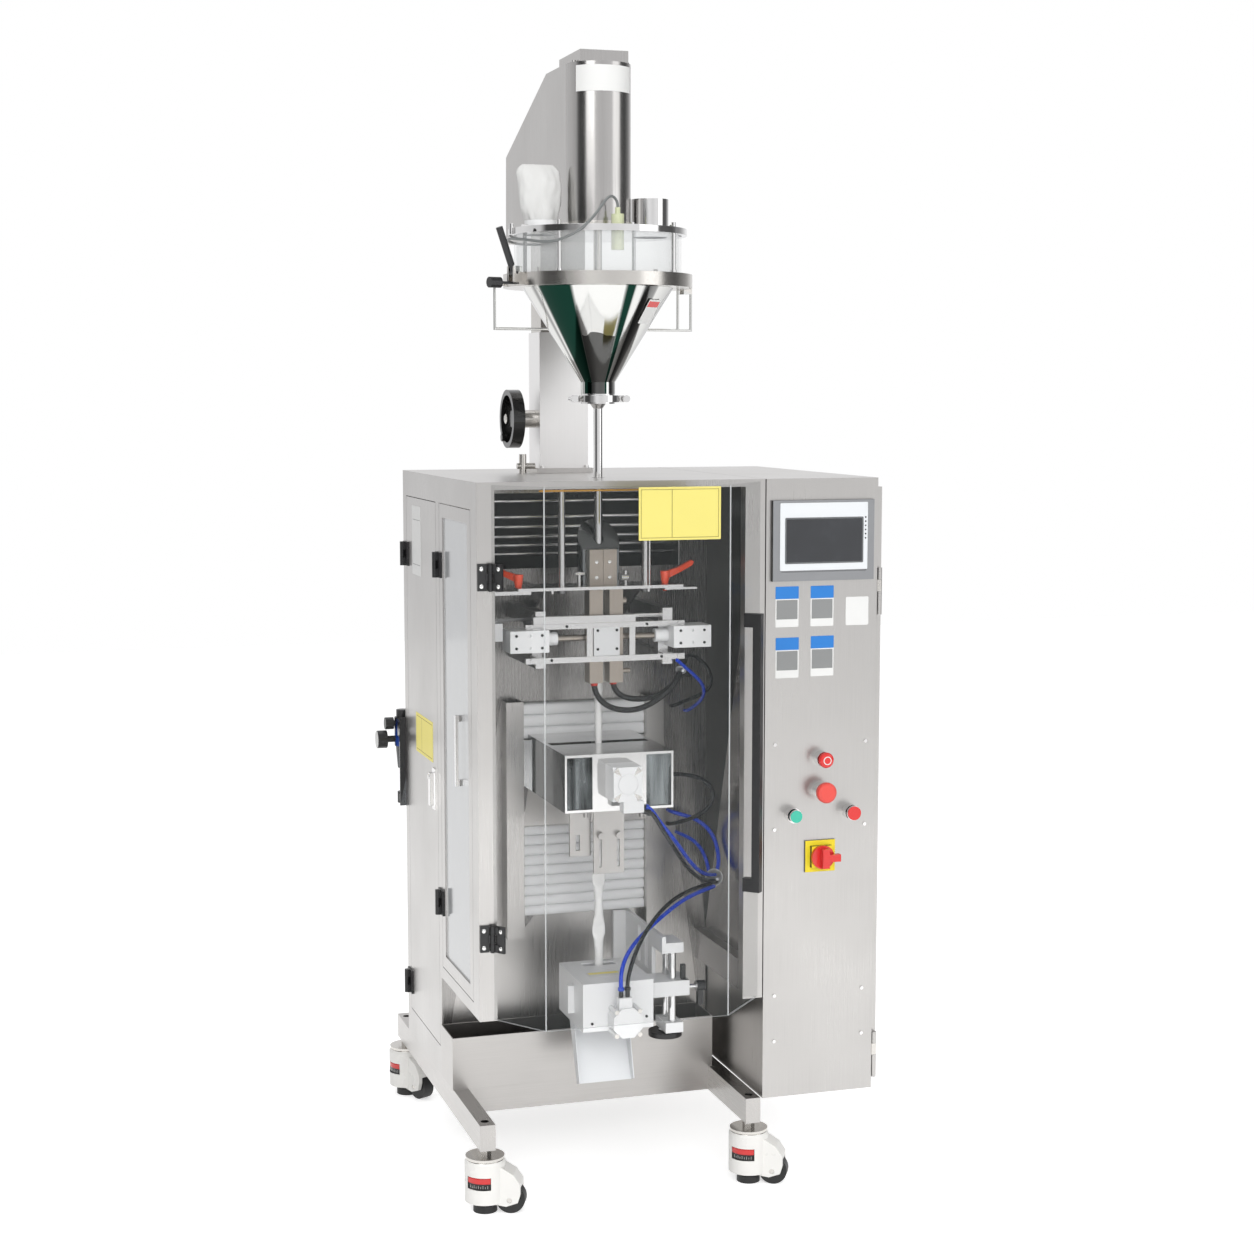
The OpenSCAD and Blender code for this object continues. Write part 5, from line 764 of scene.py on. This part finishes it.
def bellows(name, low, high, pleats, node):
    """Rounded pleats between two heights in mm; the valleys are narrow and the crests full."""
    steps, across, left, right = 16, 24, 163, 419
    profile = []
    for i in range(pleats * steps + 1):
        t = (i % steps) / steps
        crest = abs(math.sin(math.pi * t)) ** 0.24
        profile.append((valley_y - crest_reach * crest, low + (high - low) * i / (pleats * steps)))
    verts = [at(left + (right - left) * k / across,
                y + 0.5 * noise.noise(Vector((k * 0.35, z * 0.05, pleats))), ROOF - z)
             for y, z in profile for k in range(across + 1)]
    rows = across + 1
    faces = [(a, a + 1, a + 1 + rows, a + rows)
             for i in range(len(profile) - 1) for a in range(i * rows, i * rows + across)]
    n = len(verts)
    verts += [at(left if k == 0 else right, wall_y, ROOF - z) for y, z in profile for k in (0, 1)]
    for i in range(len(profile) - 1):
        a, b = i * rows, n + 2 * i
        faces += [(a, a + rows, b + 2, b), (a + across, b + 1, b + 3, a + across + rows),
                  (b, b + 2, b + 3, b + 1)]
    faces += [tuple(range(rows))[::-1] + (n, n + 1)]
    last = (len(profile) - 1) * rows
    faces += [tuple(range(last, last + rows)) + (n + 2 * len(profile) - 1, n + 2 * len(profile) - 2)]
    obj = piece(name, verts, faces, bellows_white)
    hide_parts(node)
    return obj


upper = bellows("bellows_folds_upper", 853, 925, 3, "bellows_upper")
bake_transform(upper)
lower = bellows("bellows_folds_lower", 492, 677.4, 9, "bellows_lower")
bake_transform(lower)

# Film tube and sticks
# Thin white film, round below the shoulder, drawn flat by the jaws and filled with powder
# between the cross seals. Each stick is a soft round pack with flat crimped ends.
film_white = moulded("film_white", (0.86, 0.86, 0.85), 0.28, 0.06, 0.25)
stations = [(205, 10, 10), (240, 10, 10), (330, 9.6, 9.6), (400, 8.5, 8.5), (470, 7.4, 7.4), (520, 6.6, 5.4)]
film_end = 1001
for drop in (570, 675, 780, 885):
    stations += [(drop + down, wide, deep) for down, wide, deep in (
        (0, 13, 0.8), (12, 13, 0.8), (26, 9.6, 5.2), (52, 8.2, 7.4), (78, 8.8, 6.8), (94, 11.4, 3.4))]
stations += [(990, 13, 0.8), (film_end, 12.6, 0.8)]
AXIS_X, AXIS_Y = 282, 170
fine = []
for (d0, a0, b0), (d1, a1, b1) in zip(stations, stations[1:]):
    count = max(1, round((d1 - d0) / 5))
    for k in range(count):
        t = k / count
        t = t * t * (3 - 2 * t)
        fine.append((d0 + (d1 - d0) * k / count, a0 + (a1 - a0) * t, b0 + (b1 - b0) * t))
fine.append(stations[-1])
verts, sides = [], 28
for drop, a, b in fine:
    for k in range(sides):
        w = 2 * math.pi * k / sides
        crease = 0.35 * noise.noise(Vector((math.cos(w) * 2.2, math.sin(w) * 2.2, drop * 0.06)))
        reach = 1 + crease * (0.12 if b > 2 else 0)
        verts.append(at(AXIS_X + a * reach * math.cos(w), AXIS_Y + b * reach * math.sin(w), drop))
faces = ring_sides(len(fine), sides)
faces += [tuple(range(sides)), tuple(range((len(fine) - 1) * sides, len(fine) * sides))[::-1]]
sticks = piece("film_and_sticks", verts, faces, film_white, "machine")
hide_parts("film_stick")

# Cutter
# Anodised head on two chromed posts, with the octagonal air cylinder in front, the black clamp
# lever behind its arm and the handwheel that sets its height. A blank card lies on its top.
TOP = ((1, 0, 0), (0, 1, 0))
chrome = steel("chromed_post", (0.72, 0.72, 0.72), UP, 0.1, 0.04, 0.0)
paint("cutter_posts", white_metal,
      (chrome, lambda p, n: 400 < p.x < 418 and 84 < p.y < 141 and 926 < p.z < 1064 and abs(n.z) < 0.5),
      (black_paint, lambda p, n: p.z > 1085))
paint("cutter_body", white_metal,
      (black_paint, lambda p, n: p.x > 456 and p.y < 100),
      (black_paint, lambda p, n: 424 < p.x < 436 and p.y < 95 and p.z < 986),
      (chrome, lambda p, n: 439 < p.x < 456 and p.y < 100),
      (nut_steel, lambda p, n: p.y < -11 and math.hypot(abs(p.x - 287) - 23, abs(p.z - 1030) - 23) < 5),
      (black_paint, lambda p, n: p.x < 286 and p.z < 981.5 and p.y < 12 and p.x > 268),
      (black_paint, lambda p, n: 285 < p.x < 297 and p.z < 981.5 and p.y < 12))
paint("cutter_blade", mirror_steel)
assemble("cutter_card", "cutter", "white_plastic",
         (prism(rounded(76, 34, 2), (236, 76, 959), *TOP, 0.4), label_white),
         (prism(rounded(60, 13, 2), (240, 93, 958.6), *TOP, 0.15), card_yellow))
UPRIGHT_COLLAR = [(4.1, -3), (6.2, -3), (6.2, 2), (5.4, 3), (4.1, 3)]
assemble("cutter_collars", "cutter", "blue_plastic",
         *[(turned(UPRIGHT_COLLAR, (x, 5, 966), (0, 0, 1), 20), material)
           for x, material in ((277, blue_collar), (290, black_paint))])
assemble("cutter_screws", "cutter", "black_metal",
         *[(turned(SOCKET_SCREW, (x, 30, drop), (0, -1, 0), 16), black_paint)
           for x, drop in ((227, 1037), (336, 1031))])
frosted = moulded("frosted_chute", (0.76, 0.775, 0.79), 0.3, 0.04, 0.05, Alpha=0.93)
paint("chute", frosted)

# Column and its handwheel
# Square tube of bright brushed steel bolted to the roof by its foot. The glossy black handwheel on
# its left raises the whole filler through the screw inside.
column_steel = steel("column_steel", (0.90, 0.89, 0.88), UP, 0.34, 0.04)
gloss_black = moulded("gloss_black", (0.008, 0.008, 0.008), 0.2, 0.2, 0.0, Coat_Weight=0.3)
paint("column", column_steel,
      (roof_steel, lambda p, n: p.z > -11), (nut_steel, lambda p, n: p.x < 231))
paint("column_wheel", gloss_black, (nut_steel, lambda p, n: p.x > 200))
assemble("wheel_hub", "column_wheel", "polished",
         (turned([(10, 0), (10, 3), (7, 5), (0.1, 5)], (174, 454, -109), (-1, 0, 0)), nut_steel))

# Filler frame, drive cover and powder hopper
# The steel cover with its sloping back houses the drives; below it hang the clear powder ring with
# tie rods, the mirror-polished cone with two wire handles, and the filling tube with its clamp.
cover_steel = steel("cover_steel", (0.46, 0.45, 0.44), UP, 0.22, 0.16)
# Painted reflection: bands of the studio that the polished cone shows, painted into its colour by the turn
# about its axis and not mirrored
reflection_bands_group, given, made = node_group(
    "painted_studio_reflection",
    [("Tint", "Color", (0.7, 0.7, 0.7, 1)), ("Gloss", "Float", 0.04)],
    [("Color", "Color"), ("Roughness", "Float"), ("Height", "Float")])
tree = reflection_bands_group
place = tree.nodes.new("ShaderNodeTexCoord").outputs["Object"]
from_axis = tree.nodes.new("ShaderNodeVectorMath")
from_axis.operation = "SUBTRACT"
link(tree, place, from_axis.inputs[0])
from_axis.inputs[1].default_value = at(AXIS_X, AXIS_Y, 0)
spread = tree.nodes.new("ShaderNodeSeparateXYZ")
link(tree, from_axis.outputs[0], spread.inputs[0])
turned_by = maths(tree, "ARCTAN2", spread.outputs["Y"], spread.outputs["X"])
share = maths(tree, "ADD", maths(tree, "DIVIDE", turned_by, 2 * math.pi), 0.5)
GREEN, LIGHT, MID, DIM = (0.010, 0.045, 0.032), (0.92, 0.92, 0.91), (0.34, 0.34, 0.34), (0.10, 0.105, 0.105)
CONE_REFLECTION_SHADES = ((0.0, LIGHT), (0.03, LIGHT), (0.045, MID), (0.058, LIGHT), (0.068, GREEN), (0.146, GREEN),
               (0.152, LIGHT), (0.262, LIGHT), (0.268, GREEN), (0.286, GREEN), (0.290, LIGHT), (0.306, LIGHT),
               (0.312, DIM), (0.345, MID), (0.352, LIGHT), (0.46, MID), (0.52, LIGHT), (0.62, DIM),
               (0.64, DIM), (0.66, LIGHT), (0.80, MID), (0.86, DIM), (0.88, LIGHT), (1.0, LIGHT))
painted_cone_reflection = banded(tree, share, CONE_REFLECTION_SHADES)
ripple = maths(tree, "MULTIPLY", noise_at(tree, place, 30, 1), 0.05)
height = tree.nodes.new("ShaderNodeSeparateXYZ")
link(tree, place, height.inputs[0])
# The low part of the wide light band is painted dark, as part of the painted reflection
low_part = maths(tree, "LESS_THAN", maths(tree, "ADD", height.outputs["Z"], ripple), 1.678)
middle = maths(tree, "MULTIPLY", maths(tree, "GREATER_THAN", share, 0.149),
               maths(tree, "LESS_THAN", share, 0.265))
darker = maths(tree, "MULTIPLY", maths(tree, "MULTIPLY", low_part, middle), 0.82)
shaded = maths(tree, "SUBTRACT", 1.0, darker)
mixed = tree.nodes.new("ShaderNodeVectorMath")
mixed.operation = "MULTIPLY"
link(tree, painted_cone_reflection, mixed.inputs[0])
link(tree, given.outputs["Tint"], mixed.inputs[1])
link(tree, tinted(tree, mixed.outputs[0], shaded), made.inputs["Color"])
link(tree, given.outputs["Gloss"], made.inputs["Roughness"])
link(tree, noise_at(tree, place, 40, 2), made.inputs["Height"])
hopper_mirror = material_from("hopper_mirror", reflection_bands_group, {"Tint": (0.72, 0.72, 0.71, 1), "Gloss": 0.09},
                              edge=0, Metallic=1.0)
clear_wall = moulded("clear_hopper_wall", (0.86, 0.89, 0.90), 0.03, 0.02, 0.0, edge=0, Alpha=0.16)
sensor_clear = moulded("sensor_body", (0.66, 0.70, 0.45), 0.15, 0.05, 0.0, Coat_Weight=0.4, Alpha=0.75)
paint("feeder_frame", nut_steel)
paint("motor_cover", cover_steel, (sheet_steel, lambda p, n: abs(n.x) > 0.98 and p.y > 172))
paint("hopper_wall", clear_wall)
paint("hopper_cone", hopper_mirror,
      (nut_steel, lambda p, n: -386 < p.z < -355),
      (black_paint, lambda p, n: p.x < 92 and -380 < p.z < -353))
paint("hopper_lid", mirror_steel,
      (sensor_clear, lambda p, n: math.hypot(p.x - 288, p.y - 60) < 14 and (p.z < -470.5 or p.z > -457.5)),
      (white_metal, lambda p, n: math.hypot(p.x - 170, p.y - 170) < 33 and p.z < -472))
paint("auger_tube", mirror_steel)
paint("auger_screw", nut_steel)
paint("latch_lever", black_paint)
card_steps, card_start, card_turn = 24, -146, 112
card_inner, card_outer = 63.1, 63.5
verts, faces = [], []
for r in (card_inner, card_outer):
    for k in range(card_steps + 1):
        a = math.radians(card_start + card_turn * k / card_steps)
        verts += [at(AXIS_X + r * math.cos(a), AXIS_Y + r * math.sin(a), drop) for drop in (-770, -722)]
o = 2 * (card_steps + 1)
for a in range(0, o - 2, 2):
    faces += [(a + o, a + o + 2, a + o + 3, a + o + 1), (a, a + 1, a + 3, a + 2),
              (a, a + 2, a + o + 2, a + o), (a + 1, a + o + 1, a + o + 3, a + 3)]
faces += [(0, o, o + 1, 1), (o - 2, o - 1, 2 * o - 1, 2 * o - 2)]
assemble("cover_card", "feeder", "white_plastic", ((verts, faces), label_white))
patch_turn = math.radians(-50)
cone_foot, cone_foot_r, cone_run, cone_rise = 182, 33, 111, 178
radial = Vector((math.cos(patch_turn), math.sin(patch_turn), 0))
run = Vector((-math.sin(patch_turn), math.cos(patch_turn), 0))
up_cone = radial * cone_run + Vector((0, 0, cone_rise))
cone_up = up_cone.normalized()
outward = run.cross(cone_up)
low = Vector((AXIS_X, AXIS_Y, cone_foot)) + radial * cone_foot_r + up_cone * 0.62 - run * 20 + outward
head = low + cone_up * 36 + outward * 0.5 + run * 2
assemble("cone_patch", "feeder", "white_plastic",
         (prism(rounded(40, 52, 2), (low.x, low.y, -low.z), run, cone_up, 0.5), label_white),
         (prism(rounded(36, 12, 1), (head.x, head.y, -head.z), run, cone_up, 0.2), red_plastic))

# Dust bag
# Limp bag of white cloth that lets air out of the hopper and keeps the powder in. It is tied over
# the vent collar, gathered at its neck and sewn flat at the top.
cloth = moulded("white_cloth", (0.62, 0.62, 0.61), 0.9, 0.08, 0.6, bump_size=0.0006)
rows, sides = 44, 56
vent_x, vent_y, neck_drop, bag_height = 170, 170, -485, 104
verts = []
for i in range(rows + 1):
    t = i / rows
    drop = neck_drop - bag_height * t
    swell = min(1, t / 0.22)
    swell = swell * swell * (3 - 2 * swell)
    wide = 30 + 7 * swell + 6 * t - 13 * max(0, (t - 0.82) / 0.18) ** 2.2
    deep = 30 - 4 * swell - 22 * max(0, (t - 0.5) / 0.5) ** 2.2
    gather = 1.5 * (1 - swell) + 0.7
    for k in range(sides):
        w = 2 * math.pi * k / sides
        fold = gather * math.sin(9 * w + 2 * math.sin(3 * w)) + swell * (
            4.2 * noise.noise(Vector((math.cos(w) * 1.3, math.sin(w) * 1.3, t * 2.6 + 3)))
            + 2.4 * noise.noise(Vector((math.cos(w) * 3.6, math.sin(w) * 3.6, t * 4.2 + 9))))
        fold *= 1 - 0.75 * max(0, (t - 0.8) / 0.2)
        verts.append(at(vent_x - 6 * t + (wide + fold) * math.cos(w),
                        vent_y + max(1.2, deep + fold) * math.sin(w), drop))
bag = piece("dust_bag_cloth", verts, closed_rings(rows + 1, sides), cloth, "feeder")
bag.data.set_sharp_from_angle(angle=math.radians(80))
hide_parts("dust_bag")

# Air regulator
# Bought filter regulator on a sheet bracket at the rear left: black knobs, blue body, a round
# gauge and a dark see-through bowl.
regulator_blue = moulded("regulator_blue", (0.01, 0.05, 0.30), 0.3, 0.1)
bowl_dark = moulded("regulator_bowl", (0.05, 0.055, 0.06), 0.12, 0.1, 0.0, Coat_Weight=0.5)
paint("air_regulator", regulator_blue,
      (sheet_steel, lambda p, n: p.y < 686),
      (black_paint, lambda p, n: p.z < 556 or p.z > 586),
      (black_paint, lambda p, n: p.x < -18.5 and p.z < 596),
      (bowl_dark, lambda p, n: 592.5 < p.z < 655 and p.x > -30),
      (label_white, lambda p, n: p.x < -54.5 and n.x < -0.9))
